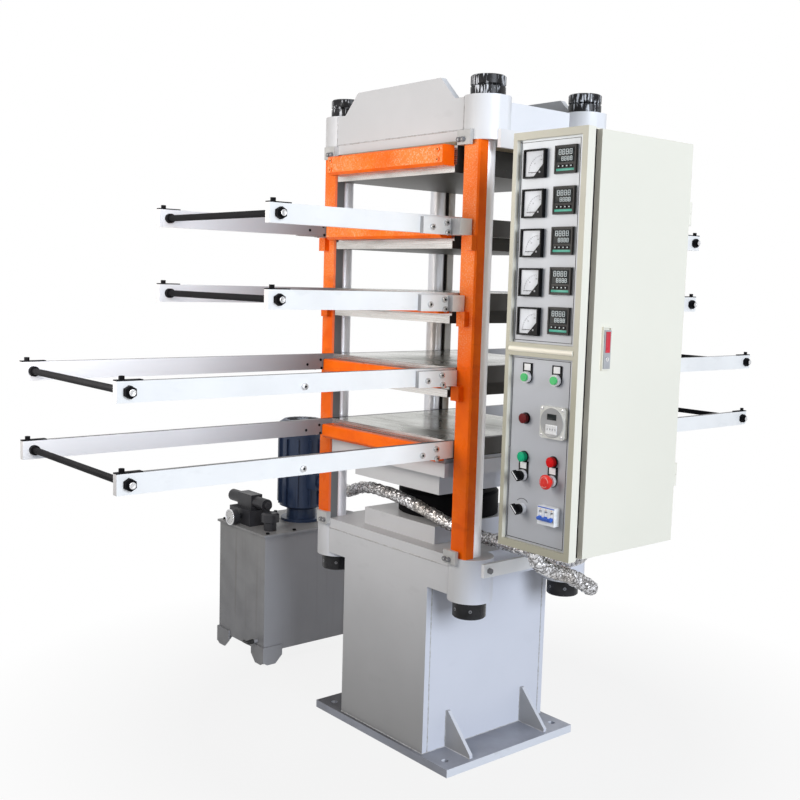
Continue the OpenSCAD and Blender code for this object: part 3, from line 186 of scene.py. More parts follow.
class StudioSettings(bpy.types.PropertyGroup):
    """Camera and light of the stage"""
    place: bpy.props.FloatVectorProperty(
        name="Camera place", description="Where the camera stands", subtype="XYZ", unit="LENGTH",
        default=(2.5376, -2.3609, 1.4646))
    azimuth: angle("Azimuth", "Compass turn of the view from the +Y axis", 49.85)
    pitch: angle("Pitch", "Downward tilt of the view", 6.42)
    roll: angle("Roll", "Turn of the camera about its own line of sight", 1.6535)
    lens: number("Lens", "Focal length in millimetres on a 36 mm sensor", 48.23)
    key_power: number("Key light", "Power of the light at the press's right, in watts", 560)
    fill_power: number("Front light", "Power of the light in front, in watts", 18)
    rear_power: number("Rear light", "Power of the light behind, in watts", 170)
    ambient: number("Ambient", "Strength of the light from all round", 0.24)


def tone_of(label):
    """Colour that the settings hold under that name."""
    return tuple(getattr(bpy.context.scene.press_colours, label))


def sizes():
    """Settings of the small fittings' sizes."""
    return bpy.context.scene.press_sizes


# Modelling helpers

def deselect():
    """Leaves edit mode and selects nothing."""
    if bpy.context.mode != "OBJECT":
        bpy.ops.object.mode_set(mode="OBJECT")
    bpy.ops.object.select_all(action="DESELECT")


def make_active(piece):
    """Selects one piece alone."""
    deselect()
    piece.select_set(True)
    bpy.context.view_layer.objects.active = piece


def settle(name):
    """Puts the new object's place into its mesh and names it."""
    bpy.ops.object.transform_apply(location=True, rotation=True, scale=True)
    piece = bpy.context.object
    piece.name = name
    piece.data.name = name
    return piece


def block(name, low, high):
    """Starts a piece from a box between two corners."""
    deselect()
    low = Vector(low)
    high = Vector(high)
    bpy.ops.mesh.primitive_cube_add(size=1, location=(low + high) / 2, scale=high - low)
    return settle(name)


def drum(name, seat, direction, radius, height, sides=32):
    """Starts a piece from a cylinder that stands on seat and points along direction."""
    deselect()
    turn = UP.rotation_difference(direction).to_euler()
    place = Vector(seat) + direction * height / 2
    bpy.ops.mesh.primitive_cylinder_add(
        vertices=sides, radius=radius, depth=height, location=place, rotation=turn)
    return settle(name)


def pick_faces(piece, direction):
    """Enters edit mode with only the faces that look along direction selected."""
    make_active(piece)
    bpy.ops.object.mode_set(mode="EDIT")
    bpy.ops.mesh.select_mode(type="FACE")
    bpy.ops.mesh.select_all(action="DESELECT")
    bpy.ops.object.mode_set(mode="OBJECT")
    for face in piece.data.polygons:
        face.select = face.normal.dot(direction) > 0.95
    bpy.ops.object.mode_set(mode="EDIT")


def sink(piece, direction, rim, depth):
    """Insets the face along direction and pushes it in, or out where depth is negative."""
    pick_faces(piece, direction)
    bpy.ops.mesh.inset(thickness=rim)
    bpy.ops.mesh.inset(thickness=rim * 0.05, depth=-depth)
    deselect()
    return piece


def soften(piece, width, segments=2):
    """Rounds the piece's sharp edges and smooths its shading."""
    make_active(piece)
    bevel = piece.modifiers.new("soft edges", "BEVEL")
    bevel.width = width
    bevel.segments = segments
    bevel.limit_method = "ANGLE"
    bevel.angle_limit = math.radians(40)
    bpy.ops.object.modifier_apply(modifier=bevel.name)
    bpy.ops.object.shade_smooth_by_angle(angle=math.radians(35))
    return piece


def combine(piece, other, operation):
    """Unites a piece with another, or cuts the other out of it, and removes the other."""
    make_active(piece)
    boolean = piece.modifiers.new("combine", "BOOLEAN")
    boolean.operation = operation
    boolean.solver = "EXACT"
    boolean.object = other
    bpy.ops.object.modifier_apply(modifier=boolean.name)
    bpy.data.objects.remove(other)
    return piece


def cut(piece, cutter):
    """Cuts one piece out of another and removes the cutter."""
    return combine(piece, cutter, "DIFFERENCE")


def join(pieces, name):
    """Joins pieces into one."""
    deselect()
    for piece in pieces:
        piece.select_set(True)
    bpy.context.view_layer.objects.active = pieces[0]
    if len(pieces) > 1:
        bpy.ops.object.join()
    pieces[0].name = name
    pieces[0].data.name = name
    return pieces[0]


def stamp(template, places, name):
    """Copies a template to each place, given as a matrix, and joins the copies into one piece."""
    copies = []
    for place in places:
        copy = template.copy()
        copy.data = template.data.copy()
        copy.data.transform(place)
        bpy.context.collection.objects.link(copy)
        copies.append(copy)
    bpy.data.objects.remove(template)
    return join(copies, name)


def at(place, direction=UP):
    """Matrix that stands a template on a place, pointing along direction."""
    turn = UP.rotation_difference(Vector(direction)).to_matrix().to_4x4()
    return Matrix.Translation(Vector(place)) @ turn


def strokes(name, lines, radius, radii=None, roundness=1):
    """Round strokes along lines of points, made a mesh."""
    curve = bpy.data.curves.new(name, "CURVE")
    curve.dimensions = "3D"
    curve.bevel_depth = radius
    curve.bevel_resolution = roundness
    curve.use_fill_caps = True
    for index, line in enumerate(lines):
        spline = curve.splines.new("POLY")
        spline.points.add(len(line) - 1)
        for step, place in enumerate(line):
            spline.points[step].co = (*place, 1)
            if radii:
                spline.points[step].radius = radii[index][step]
    piece = bpy.data.objects.new(name, curve)
    bpy.context.collection.objects.link(piece)
    make_active(piece)
    bpy.ops.object.convert(target="MESH")
    bpy.ops.object.shade_smooth_by_angle(angle=math.radians(60))
    return piece


def numeral(name, words, size, place):
    """Plain number facing the front, made a mesh."""
    deselect()
    bpy.ops.object.text_add(location=ORIGIN)
    piece = bpy.context.object
    piece.data.body = words
    piece.data.size = size
    piece.data.align_x = "CENTER"
    piece.data.align_y = "CENTER"
    piece.data.extrude = 0.05 * MM
    bpy.ops.object.convert(target="MESH")
    piece.data.transform(Matrix.Translation(Vector(place)) @ Matrix.Rotation(math.pi / 2, 4, "X"))
    piece.name = name
    return piece


def dress(piece, body, tone):
    """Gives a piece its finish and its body."""
    piece.data.materials.clear()
    piece.data.materials.append(finish(tone))
    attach(piece, body)
    return piece


# Shader groups

def put(tree, value, socket):
    """Joins a socket to another, or sets it to a plain number, vector or colour."""
    if isinstance(value, bpy.types.NodeSocket):
        tree.links.new(value, socket)
    elif socket.type == "RGBA":
        socket.default_value = (*value, 1)
    else:
        socket.default_value = value


def new_group(name, inputs, outputs):
    """Node group, with the sockets that give its inputs and those that take its outputs."""
    group = bpy.data.node_groups.new(name, "ShaderNodeTree")
    for label, kind in inputs:
        group.interface.new_socket(label, in_out="INPUT", socket_type="NodeSocket" + kind)
    for label, kind in outputs:
        group.interface.new_socket(label, in_out="OUTPUT", socket_type="NodeSocket" + kind)
    return group, group.nodes.new("NodeGroupInput").outputs, group.nodes.new("NodeGroupOutput").inputs


def spot_on(tree):
    """Place on the object."""
    return tree.nodes.new("ShaderNodeTexCoord").outputs["Object"]


def split(tree, vector):
    """Three axes of a vector."""
    node = tree.nodes.new("ShaderNodeSeparateXYZ")
    tree.links.new(vector, node.inputs["Vector"])
    return node.outputs


def noise_in(tree, vector, scale, detail=4.0, stretch=None):
    """Noise on a vector that may be stretched first."""
    noise = tree.nodes.new("ShaderNodeTexNoise")
    if stretch is not None:
        mapping = tree.nodes.new("ShaderNodeMapping")
        put(tree, stretch, mapping.inputs["Scale"])
        put(tree, vector, mapping.inputs["Vector"])
        vector = mapping.outputs["Vector"]
    put(tree, vector, noise.inputs["Vector"])
    put(tree, scale, noise.inputs["Scale"])
    put(tree, detail, noise.inputs["Detail"])
    return noise.outputs["Fac"]


def remap(tree, value, low, high, to_low=0.0, to_high=1.0):
    """Value carried from one range to another, held at its ends."""
    node = tree.nodes.new("ShaderNodeMapRange")
    labels = ("Value", "From Min", "From Max", "To Min", "To Max")
    for label, given in zip(labels, (value, low, high, to_low, to_high)):
        put(tree, given, node.inputs[label])
    return node.outputs["Result"]


def maths(tree, operation, first, second=0.0):
    """One math node on sockets or numbers."""
    node = tree.nodes.new("ShaderNodeMath")
    node.operation = operation
    put(tree, first, node.inputs[0])
    put(tree, second, node.inputs[1])
    return node.outputs["Value"]


def mix_colour(tree, factor, first, second):
    """Mix of two colours, each a socket or a colour."""
    node = tree.nodes.new("ShaderNodeMix")
    node.data_type = "RGBA"
    put(tree, factor, node.inputs["Factor"])
    ends = [socket for socket in node.inputs if socket.type == "RGBA"]
    put(tree, first, ends[0])
    put(tree, second, ends[1])
    return [socket for socket in node.outputs if socket.type == "RGBA"][0]


def uneven_paint(name):
    """Group for brushed or sprayed paint with soft patches, fine peel and dull spots."""
    group, given, made = new_group(
        name,
        [("Paint", "Color"), ("Shade", "Color"), ("Patches", "Float"), ("Peel", "Float"), ("Gloss", "Float"),
         ("Dull", "Float")],
        [("Colour", "Color"), ("Roughness", "Float"), ("Height", "Float")])
    spot = spot_on(group)
    patches = remap(group, noise_in(group, spot, given["Patches"]), 0.36, 0.66)
    put(group, mix_colour(group, patches, given["Paint"], given["Shade"]), made["Colour"])
    spots = noise_in(group, spot, 14.0)
    put(group, remap(group, spots, 0.3, 0.7, given["Gloss"], given["Dull"]), made["Roughness"])
    put(group, noise_in(group, spot, given["Peel"], 2.0), made["Height"])
    return group


def wear_masks(name):
    """Group for masks of scuffs and of runs down the sides."""
    group, _, made = new_group(name, [], [("Scuffs", "Float"), ("Runs", "Float")])
    spot = spot_on(group)
    scuffs = noise_in(group, spot, 9.0, 9.0, (1.0, 1.0, 2.4))
    put(group, remap(group, scuffs, 0.62, 0.70), made["Scuffs"])
    runs = noise_in(group, spot, 1.0, 5.0, (42.0, 42.0, 1.6))
    put(group, remap(group, runs, 0.58, 0.78), made["Runs"])
    return group


def side_masks(name):
    """Group for masks of faces that look up, down, sideways, to the front or to the press's middle."""
    labels = ("Up", "Down", "Side", "Soft side", "Front", "Inward")
    group, _, made = new_group(name, [], [(label, "Float") for label in labels])
    normal = split(group, group.nodes.new("ShaderNodeTexCoord").outputs["Normal"])
    sideways = maths(group, "ABSOLUTE", normal["X"])
    inward = maths(group, "MULTIPLY", normal["X"], split(group, spot_on(group))["X"])
    put(group, remap(group, normal["Z"], 0.7, 0.8), made["Up"])
    put(group, remap(group, normal["Z"], -0.7, -0.8), made["Down"])
    put(group, remap(group, sideways, 0.7, 0.8), made["Side"])
    put(group, remap(group, sideways, 0.3, 0.95), made["Soft side"])
    put(group, remap(group, normal["Y"], -0.7, -0.8), made["Front"])
    put(group, remap(group, inward, -0.20, -0.25), made["Inward"])
    return group


def machined_grain(name):
    """Group for machining grain: fine lines along one axis."""
    group, given, made = new_group(
        name, [("Stretch", "Vector"), ("Smooth", "Float"), ("Coarse", "Float")],
        [("Lines", "Float"), ("Roughness", "Float")])
    lines = noise_in(group, spot_on(group), 1.0, 6.0, given["Stretch"])
    put(group, lines, made["Lines"])
    put(group, remap(group, lines, 0.3, 0.7, given["Smooth"], given["Coarse"]), made["Roughness"])
    return group


GROUPS = {
    "uneven paint": uneven_paint,
    "wear": wear_masks,
    "sides": side_masks,
    "machined grain": machined_grain,
}


# Finishes

def darker(tone, share):
    """Tone with only a share of its light."""
    return tuple(channel * share for channel in tone)


class Coat:
    """A finish in the making: its material, its nodes and its colour so far."""

    def __init__(self, name, metallic=0.0, lacquer=0.0, roughness=0.5, shine=0.5):
        """Starts the material with the constants of its shader."""
        self.material = bpy.data.materials.new(name)
        self.material.use_nodes = True
        self.tree = self.material.node_tree
        self.shader = self.tree.nodes["Principled BSDF"].inputs
        self.shader["Metallic"].default_value = metallic
        self.shader["Coat Weight"].default_value = lacquer
        self.shader["Roughness"].default_value = roughness
        self.shader["Specular IOR Level"].default_value = shine
        self.tint = None
        self.groups = {}

    def group(self, name, **values):
        """Outputs of a shared group, placed with its values the first time it is asked for."""
        if name not in self.groups:
            node = self.tree.nodes.new("ShaderNodeGroup")
            node.node_tree = bpy.data.node_groups.get(name) or GROUPS[name](name)
            for label, value in values.items():
                put(self.tree, value, node.inputs[label])
            self.groups[name] = node.outputs
        return self.groups[name]

    def mask(self, label, share=1.0):
        """Mask from the wear or the sides group, weakened to a share."""
        name = "wear" if label in ("Scuffs", "Runs") else "sides"
        return self.times(self.group(name)[label], share)

    def times(self, first, *others):
        """Product of masks and numbers."""
        for other in others:
            first = maths(self.tree, "MULTIPLY", first, other)
        return first

    def noise(self, scale, detail=4.0, stretch=None):
        """Noise over the object."""
        return noise_in(self.tree, spot_on(self.tree), scale, detail, stretch)

    def patches(self, low, high, scale, detail=4.0, stretch=None, most=1.0):
        """Mask that grows to its most where the noise goes from low to high."""
        return remap(self.tree, self.noise(scale, detail, stretch), low, high, 0.0, most)

    def along(self, axis, low, high, to_low=0.0, to_high=1.0):
        """Mask that changes along one axis of the object."""
        return remap(self.tree, split(self.tree, spot_on(self.tree))[axis], low, high, to_low, to_high)

    def outward(self, axis, low, high, to_low=0.0, to_high=1.0):
        """Mask that changes both ways from the middle of one axis."""
        reach = maths(self.tree, "ABSOLUTE", split(self.tree, spot_on(self.tree))[axis])
        return remap(self.tree, reach, low, high, to_low, to_high)

    def layer(self, mask, tone):
        """Lays a tone over the colour so far where the mask is set."""
        self.tint = mix_colour(self.tree, mask, self.tint, tone)

    def bump(self, height, strength, distance=MM):
        """Bump from a height."""
        node = self.tree.nodes.new("ShaderNodeBump")
        put(self.tree, strength, node.inputs["Strength"])
        put(self.tree, distance, node.inputs["Distance"])
        put(self.tree, height, node.inputs["Height"])
        put(self.tree, node.outputs["Normal"], self.shader["Normal"])

    def done(self):
        """Finished material."""
        put(self.tree, self.tint, self.shader["Base Color"])
        return self.material


def paint(name, tone, shade, gloss, dull, patches=5.0, peel=260.0, depth=0.08, lacquer=0.0, shine=0.5):
    """Starts a coat of uneven paint."""
    coat = Coat(name, lacquer=lacquer, shine=shine)
    base = coat.group(
        "uneven paint", Paint=tone, Shade=shade, Patches=patches, Peel=peel, Gloss=gloss, Dull=dull)
    coat.tint = base["Colour"]
    put(coat.tree, base["Roughness"], coat.shader["Roughness"])
    coat.bump(base["Height"], depth)
    return coat


def machined(name, metallic, stretch, smooth, coarse, dark, pale, shine=0.5):
    """Starts a coat of bare metal with machining grain."""
    coat = Coat(name, metallic=metallic, shine=shine)
    grain = coat.group("machined grain", Stretch=stretch, Smooth=smooth, Coarse=coarse)
    coat.tint = mix_colour(coat.tree, grain["Lines"], dark, pale)
    put(coat.tree, grain["Roughness"], coat.shader["Roughness"])
    return coat


def frame_paint(name):
    """Light grey brushed paint with scuffs and dusty tops; front faces carry painted shade that deepens
    towards the floor, and side faces carry a painted bluish light that grows paler towards the top.
    """
    tone = tone_of("frame_paint")
    coat = paint(name, tone, darker(tone, 0.95), 0.34, 0.5, lacquer=0.05)
    coat.layer(coat.mask("Scuffs", 0.12), darker(tone, 0.62))
    coat.layer(coat.mask("Runs", 0.04), (0.36, 0.33, 0.29))
    # Painted shade: front faces darken towards the floor.
    foot = coat.along("Z", 0.0, 0.65, 0.75, 0.0)
    coat.layer(coat.times(foot, coat.mask("Front")), (0.24, 0.235, 0.23))
    coat.layer(coat.mask("Up", 0.5), (0.36, 0.35, 0.35))
    # Painted light: side faces turn bluish, paler towards the top.
    upper = coat.along("Z", 1.3, 1.8)
    lit_side_tone = mix_colour(coat.tree, upper, (0.66, 0.69, 0.80), (0.86, 0.87, 0.90))
    coat.layer(coat.times(coat.mask("Soft side"), coat.along("Z", 1.3, 1.8, 0.6, 0.9)), lit_side_tone)
    return coat


def bracket_paint(name):
    """White brackets with dusty tops and bolt heads of bare steel."""
    coat = paint(name, (0.86, 0.86, 0.86), (0.78, 0.78, 0.79), 0.34, 0.5)
    coat.layer(coat.mask("Up", 0.7), (0.30, 0.30, 0.30))
    bar_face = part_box("cabinet_brackets")[0].x + 12 * MM
    bolts = coat.times(coat.along("X", bar_face, bar_face + MM), coat.outward("Y", 0.18, 0.19))
    coat.layer(bolts, (0.15, 0.15, 0.16))
    return coat


def weld_paint(name):
    """Painted weld bead with dark pits."""
    tone = darker(tone_of("frame_paint"), 0.88)
    return paint(name, tone, (0.40, 0.39, 0.38), 0.4, 0.7, patches=48.0, peel=500.0, depth=0.5)


def base_paint(name):
    """Mid-grey plate with dusty scuffs, side faces made paler and bluish as painted light, and a painted
    shadow over the left part of its top.
    """
    tone = tone_of("base_paint")
    coat = paint(name, tone, darker(tone, 0.8), 0.35, 0.6, patches=9.0)
    # Painted light: side faces paler and bluish.
    coat.layer(coat.mask("Side"), (0.70, 0.72, 0.77))
    coat.layer(coat.mask("Scuffs", 0.22), (0.36, 0.355, 0.35))
    # Painted shadow: the top darkens towards the left.
    coat.layer(coat.times(coat.along("X", 0.30, 0.05), coat.mask("Up"), 0.85), (0.045, 0.043, 0.043))
    return coat


def orange_paint(name):
    """Glossy orange paint laid on unevenly, with a painted sheen and painted pale glints on front faces,
    more of them towards the top.
    """
    tone = tone_of("orange_paint")
    coat = paint(
        name, tone, (0.90, 0.125, 0.004), 0.22, 0.40, patches=13.0, peel=120.0, depth=0.45, shine=0.12)
    coat.layer(coat.mask("Scuffs", 0.3), (0.55, 0.06, 0.005))
    # Painted highlights: a pale sheen and fine glints on front faces, growing towards the top.
    sheen_rise = coat.along("Z", 0.85, 1.60, -0.12, 0.12)
    sheen_patches = remap(coat.tree, maths(coat.tree, "ADD", coat.noise(4.0), sheen_rise), 0.50, 0.72)
    where = coat.times(sheen_patches, coat.mask("Front"))
    coat.layer(coat.times(where, 0.35), (1.0, 0.42, 0.14))
    coat.layer(coat.times(coat.patches(0.50, 0.70, 230.0, 5.0), where, 0.6), (1.0, 0.70, 0.48))
    return coat


def post_paint(name):
    """Orange paint with bare sides that face the platens: grey at the front, stained white at the rear, and
    painted shade that makes the rear posts' front faces nearly black.
    """
    coat = orange_paint(name)
    coat.layer(coat.mask("Inward"), (0.22, 0.22, 0.225))
    rear = coat.along("Y", -0.01, 0.01)
    stains = coat.patches(0.44, 0.62, 1.0, 5.0, (16.0, 16.0, 5.0))
    bare = mix_colour(coat.tree, stains, (0.90, 0.86, 0.81), (0.48, 0.38, 0.29))
    coat.layer(coat.times(rear, coat.mask("Inward")), bare)
    # Painted shade: the rear posts' front faces are made nearly black.
    coat.layer(coat.times(rear, coat.mask("Front")), (0.06, 0.055, 0.05))
    return coat


def column_steel(name):
    """Ground steel of the tie columns, stained brown mostly at the rear."""
    coat = machined(name, 0.45, (9.0, 9.0, 2.0), 0.3, 0.5, (0.88, 0.88, 0.92), (0.97, 0.97, 1.0))
    stains = coat.patches(0.50, 0.66, 1.0, 5.0, (14.0, 14.0, 4.0))
    coat.layer(coat.times(stains, coat.along("Y", -0.1, 0.1, 0.2, 0.6)), (0.40, 0.31, 0.23))
    coat.bump(coat.group("machined grain")["Lines"], 0.06)
    return coat


def streaked_black(name):
    """Gloss black nuts; the upper ones carry broken upright streaks of light."""
    coat = paint(
        name, (0.006, 0.006, 0.007), (0.02, 0.02, 0.022), 0.2, 0.4, patches=30.0, peel=160.0, depth=0.3,
        shine=0.2)
    streaks = coat.patches(0.53, 0.59, 1.0, 5.0, (150.0, 150.0, 26.0))
    broken = coat.patches(0.42, 0.52, 34.0, 3.0)
    coat.layer(coat.times(streaks, broken, coat.along("Z", 1.05, 1.15, 0.0, 0.9)), (0.74, 0.76, 0.80))
    return coat


def tab_paint(name):
    """Pale grey holding blocks."""
    coat = paint(name, (0.56, 0.56, 0.55), (0.45, 0.45, 0.44), 0.32, 0.5, patches=18.0)
    coat.layer(coat.mask("Scuffs", 0.5), (0.25, 0.24, 0.23))
    return coat


def platen_steel(name):
    """Machined platens: bright front edges, stained mirror-like tops, dark sides and undersides."""
    coat = machined(
        name, 0.0, (4.0, 4.0, 420.0), 0.14, 0.34, (0.55, 0.53, 0.50), (0.80, 0.79, 0.77), shine=0.25)
    coat.layer(coat.mask("Up"), (0.46, 0.47, 0.43))
    coat.layer(coat.patches(0.46, 0.72, 1.0, 6.0, (5.0, 26.0, 26.0), most=0.55), (0.13, 0.115, 0.085))
    coat.layer(coat.mask("Down"), (0.085, 0.078, 0.07))
    coat.layer(coat.mask("Side"), (0.035, 0.033, 0.030))
    dark = maths(coat.tree, "MAXIMUM", coat.mask("Down", 0.72), coat.mask("Side"))
    put(coat.tree, remap(coat.tree, dark, 0.0, 1.0, 0.8, 0.0), coat.shader["Metallic"])
    smooth = coat.group("machined grain")["Roughness"]
    put(coat.tree, maths(coat.tree, "MAXIMUM", smooth, coat.times(dark, 0.6)), coat.shader["Roughness"])
    return coat


def insulation_board(name):
    """Tan pressed board with a fibrous edge."""
    return paint(
        name, (0.44, 0.37, 0.26), (0.33, 0.27, 0.19), 0.75, 0.9, patches=30.0, peel=400.0, depth=0.3)


def rail_paint(name):
    """White rails with dark upper edges, greyer inner faces and dark bars beside the platens; painted shade
    darkens the inner faces near the press and greys the front faces.
    """
    tone = tone_of("rail_paint")
    coat = paint(name, tone, darker(tone, 0.93), 0.3, 0.45, lacquer=0.08)
    coat.layer(coat.mask("Scuffs", 0.14), darker(tone, 0.6))
    coat.layer(coat.mask("Inward"), (0.66, 0.67, 0.70))
    # Painted shade: inner faces darken near the press.
    near = coat.outward("Y", 0.36, 0.80, 0.95, 0.0)
    coat.layer(coat.times(near, coat.mask("Inward")), (0.20, 0.20, 0.21))
    # Painted shade: front faces turn grey.
    coat.layer(coat.mask("Front"), (0.42, 0.42, 0.43))
    beside = coat.outward("Y", 0.262, 0.258)
    coat.layer(coat.times(beside, coat.mask("Side")), (0.035, 0.032, 0.029))
    coat.layer(coat.mask("Up"), (0.02, 0.02, 0.021))
    return coat


def powder_coat(name, tone):
    """Starts an even powder coat."""
    return paint(name, tone, darker(tone, 0.97), 0.36, 0.46, patches=2.5, peel=620.0, depth=0.14)


def shell_coat(name):
    """Cream powder coat of the cabinet's shell, with painted shade: beige on its front, paler towards the
    top, and the plain cream on its sides.
    """
    coat = powder_coat(name, tone_of("front_shade_beige"))
    # Painted shade and light: beige front, paler towards the top; side faces keep the lit cream.
    coat.layer(coat.along("Z", 1.2, 1.9, 0.0, 0.4), tone_of("cabinet_paint"))
    coat.layer(coat.mask("Side"), tone_of("cabinet_paint"))
    return coat


def door_coat(name):
    """Cream powder coat of the door, with painted light that makes its front edge a pale beige."""
    coat = powder_coat(name, tone_of("cabinet_paint"))
    # Painted light: the front edge is made paler than the door's cream.
    coat.layer(coat.mask("Front"), (0.96, 0.90, 0.76))
    return coat


def panel_grey(name):
    """Satin panels with a faint vertical grain and a painted reflection that makes them paler towards the
    top.
    """
    tone = tone_of("panel_grey")
    coat = machined(name, 0.1, (420.0, 420.0, 5.0), 0.42, 0.54, darker(tone, 0.95), tone, shine=0.3)
    # Painted reflection: a pale cool sheen that rises steeply towards the top.
    reflection_rise = coat.along("Z", WINDOW_SILL, WINDOW_HEAD)
    coat.layer(coat.times(maths(coat.tree, "POWER", reflection_rise, 4.0), 0.9), (0.82, 0.86, 0.90))
    coat.bump(coat.group("machined grain")["Lines"], 0.02)
    return coat


def plastic(name, tone, gloss=0.22, dull=0.36, shine=0.35, lacquer=0.0):
    """Moulded plastic or smooth paint with a faint mottle."""
    return paint(
        name, tone, darker(tone, 0.88), gloss, dull, patches=40.0, peel=900.0, depth=0.05, lacquer=lacquer,
        shine=shine)


def motor_paint(name):
    """Dark blue motor with a thin lacquer."""
    return plastic(name, tone_of("motor_paint"), 0.3, 0.5, lacquer=0.1)


def lamp_lens(name, tone):
    """Clear coloured lens with fine facets, darker round its edge."""
    coat = Coat(name, roughness=0.25, shine=0.12)
    facets = coat.tree.nodes.new("ShaderNodeTexVoronoi")
    put(coat.tree, 420.0, facets.inputs["Scale"])
    put(coat.tree, spot_on(coat.tree), facets.inputs["Vector"])
    depth = remap(coat.tree, facets.outputs["Distance"], 0.0, 0.8)
    coat.tint = darker(tone, 0.35)
    coat.layer(coat.mask("Front"), mix_colour(coat.tree, depth, tone, darker(tone, 0.8)))
    coat.bump(facets.outputs["Distance"], 0.3)
    return coat


def tank_paint(name):
    """Grey tank with painted light that makes it paler above and its side faces paler and bluish, with brown
    runs and a black drain valve.
    """
    tone = tone_of("tank_paint")
    coat = paint(name, tone, darker(tone, 0.82), 0.35, 0.55, patches=7.0)
    # Painted light: paler towards the top.
    coat.layer(coat.along("Z", 0.15, 0.55, 0.0, 0.45), (0.34, 0.335, 0.32))
    # Painted light: side faces paler and bluish.
    coat.layer(coat.mask("Side", 0.7), (0.38, 0.385, 0.41))
    left = coat.along("X", -0.95, -1.05, 0.25, 0.9)
    coat.layer(coat.times(coat.mask("Runs"), left), (0.10, 0.07, 0.045))
    valve_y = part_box("oil_tank")[0].y + 30 * MM
    coat.layer(coat.along("Y", valve_y + MM, valve_y), (0.02, 0.02, 0.02))
    return coat


def foil_wrap(name):
    """Crinkled silver foil with painted shade along its creases, painted dark reflections in patches and
    faint warm painted reflections.
    """
    coat = Coat(name, metallic=0.85)
    tree = coat.tree
    creases = maths(tree, "ABSOLUTE", maths(tree, "SUBTRACT", coat.noise(60.0, 2.0), 0.5))
    wrinkles = coat.noise(90.0, 6.0)
    # Painted reflection: faint warm patches in the silver.
    warm = coat.patches(0.45, 0.7, 7.0, most=0.6)
    silver = mix_colour(tree, warm, (0.74, 0.74, 0.76), (0.50, 0.42, 0.32))
    # Painted shade: dark along the creases, silver elsewhere.
    coat.tint = (0.09, 0.085, 0.08)
    coat.layer(remap(tree, creases, 0.0, 0.07), silver)
    # Painted reflection: dark patches on the foil.
    coat.layer(coat.patches(0.54, 0.60, 1.0, 3.0, (75.0, 75.0, 150.0), most=0.75), (0.16, 0.15, 0.145))
    put(tree, remap(tree, wrinkles, 0.3, 0.7, 0.16, 0.38), coat.shader["Roughness"])
    coat.bump(maths(tree, "ADD", maths(tree, "MULTIPLY", creases, 4.0), wrinkles), 0.8, 4 * MM)
    return coat


# Finishes with a recipe of their own
RECIPES = {
    "frame paint": frame_paint, "bracket paint": bracket_paint, "weld paint": weld_paint,
    "base paint": base_paint, "orange paint": orange_paint, "post paint": post_paint,
    "column steel": column_steel, "streaked black": streaked_black, "tab paint": tab_paint,
    "platen steel": platen_steel, "insulation board": insulation_board, "rail paint": rail_paint,
    "cabinet beige": shell_coat, "cabinet cream": door_coat, "panel grey": panel_grey,
    "tank paint": tank_paint, "motor paint": motor_paint, "foil wrap": foil_wrap,
}

# Metals: metallic, stretch of the grain, smoothest, coarsest, dark tone, pale tone
METALS = {
    "bright steel": (0.9, (300.0, 300.0, 300.0), 0.18, 0.38, (0.52, 0.52, 0.53), (0.74, 0.74, 0.75)),
    "ram chrome": (1.0, (4.0, 4.0, 500.0), 0.06, 0.18, (0.60, 0.58, 0.56), (0.78, 0.76, 0.75)),
    "chrome trim": (1.0, (60.0, 60.0, 60.0), 0.08, 0.22, (0.66, 0.66, 0.68), (0.84, 0.84, 0.86)),
}

# Plastics and smooth paints: tone, then gloss, dull and shine where they aren't the usual ones
PLASTICS = {
    "black steel": ((0.007, 0.007, 0.008), 0.45, 0.6, 0.03),
    "handle steel": ((0.42, 0.42, 0.43), 0.25, 0.4),
    "collar silver": ((0.68, 0.68, 0.70), 0.2, 0.3, 0.5),
    "valve steel": ((0.20, 0.20, 0.21), 0.3, 0.45, 0.2),
    "dial grey": ((0.20, 0.21, 0.23), 0.5, 0.7),
    "valve black": ((0.03, 0.03, 0.035), 0.35, 0.55),
    "instrument black": ((0.006, 0.006, 0.007), 0.3, 0.44, 0.08),
    "controller grey": ((0.040, 0.038, 0.036), 0.35, 0.5, 0.15),
    "controller glass": ((0.018, 0.022, 0.022), 0.2, 0.3, 0.1),
    "controller teal": ((0.05, 0.42, 0.30), 0.3, 0.45),
    "digit pale": ((0.66, 0.72, 0.72), 0.3, 0.45),
    "timer white": ((0.74, 0.74, 0.70),),
    "timer grey": ((0.40, 0.40, 0.40),),
    "label white": ((0.90, 0.90, 0.90), 0.4, 0.55),
    "dial paper": ((0.88, 0.91, 0.96), 0.4, 0.55, 0.15),
    "ink": ((0.02, 0.02, 0.022), 0.5, 0.7),
    "green button": ((0.06, 0.56, 0.16), 0.25, 0.36),
    "stop red": ((0.78, 0.022, 0.012), 0.22, 0.34),
    "arrow pink": ((0.80, 0.28, 0.24),),
    "breaker white": ((0.88, 0.90, 0.92),),
    "breaker blue": ((0.03, 0.13, 0.62), 0.25, 0.4),
    "breaker amber": ((0.85, 0.48, 0.28),),
    "lock red": ((0.62, 0.03, 0.05),),
}

# Lamp lenses: tone
LENSES = {
    "dark red lens": (0.16, 0.008, 0.010),
    "green lens": (0.005, 0.50, 0.24),
    "red lens": (0.80, 0.004, 0.006),
}


def finish(name):
    """Material of that name, made the first time it is asked for."""
    if name in bpy.data.materials:
        return bpy.data.materials[name]
    if name in METALS:
        return machined(name, *METALS[name]).done()
    if name in PLASTICS:
        return plastic(name, *PLASTICS[name]).done()
    if name in LENSES:
        return lamp_lens(name, LENSES[name]).done()
    return RECIPES[name](name).done()


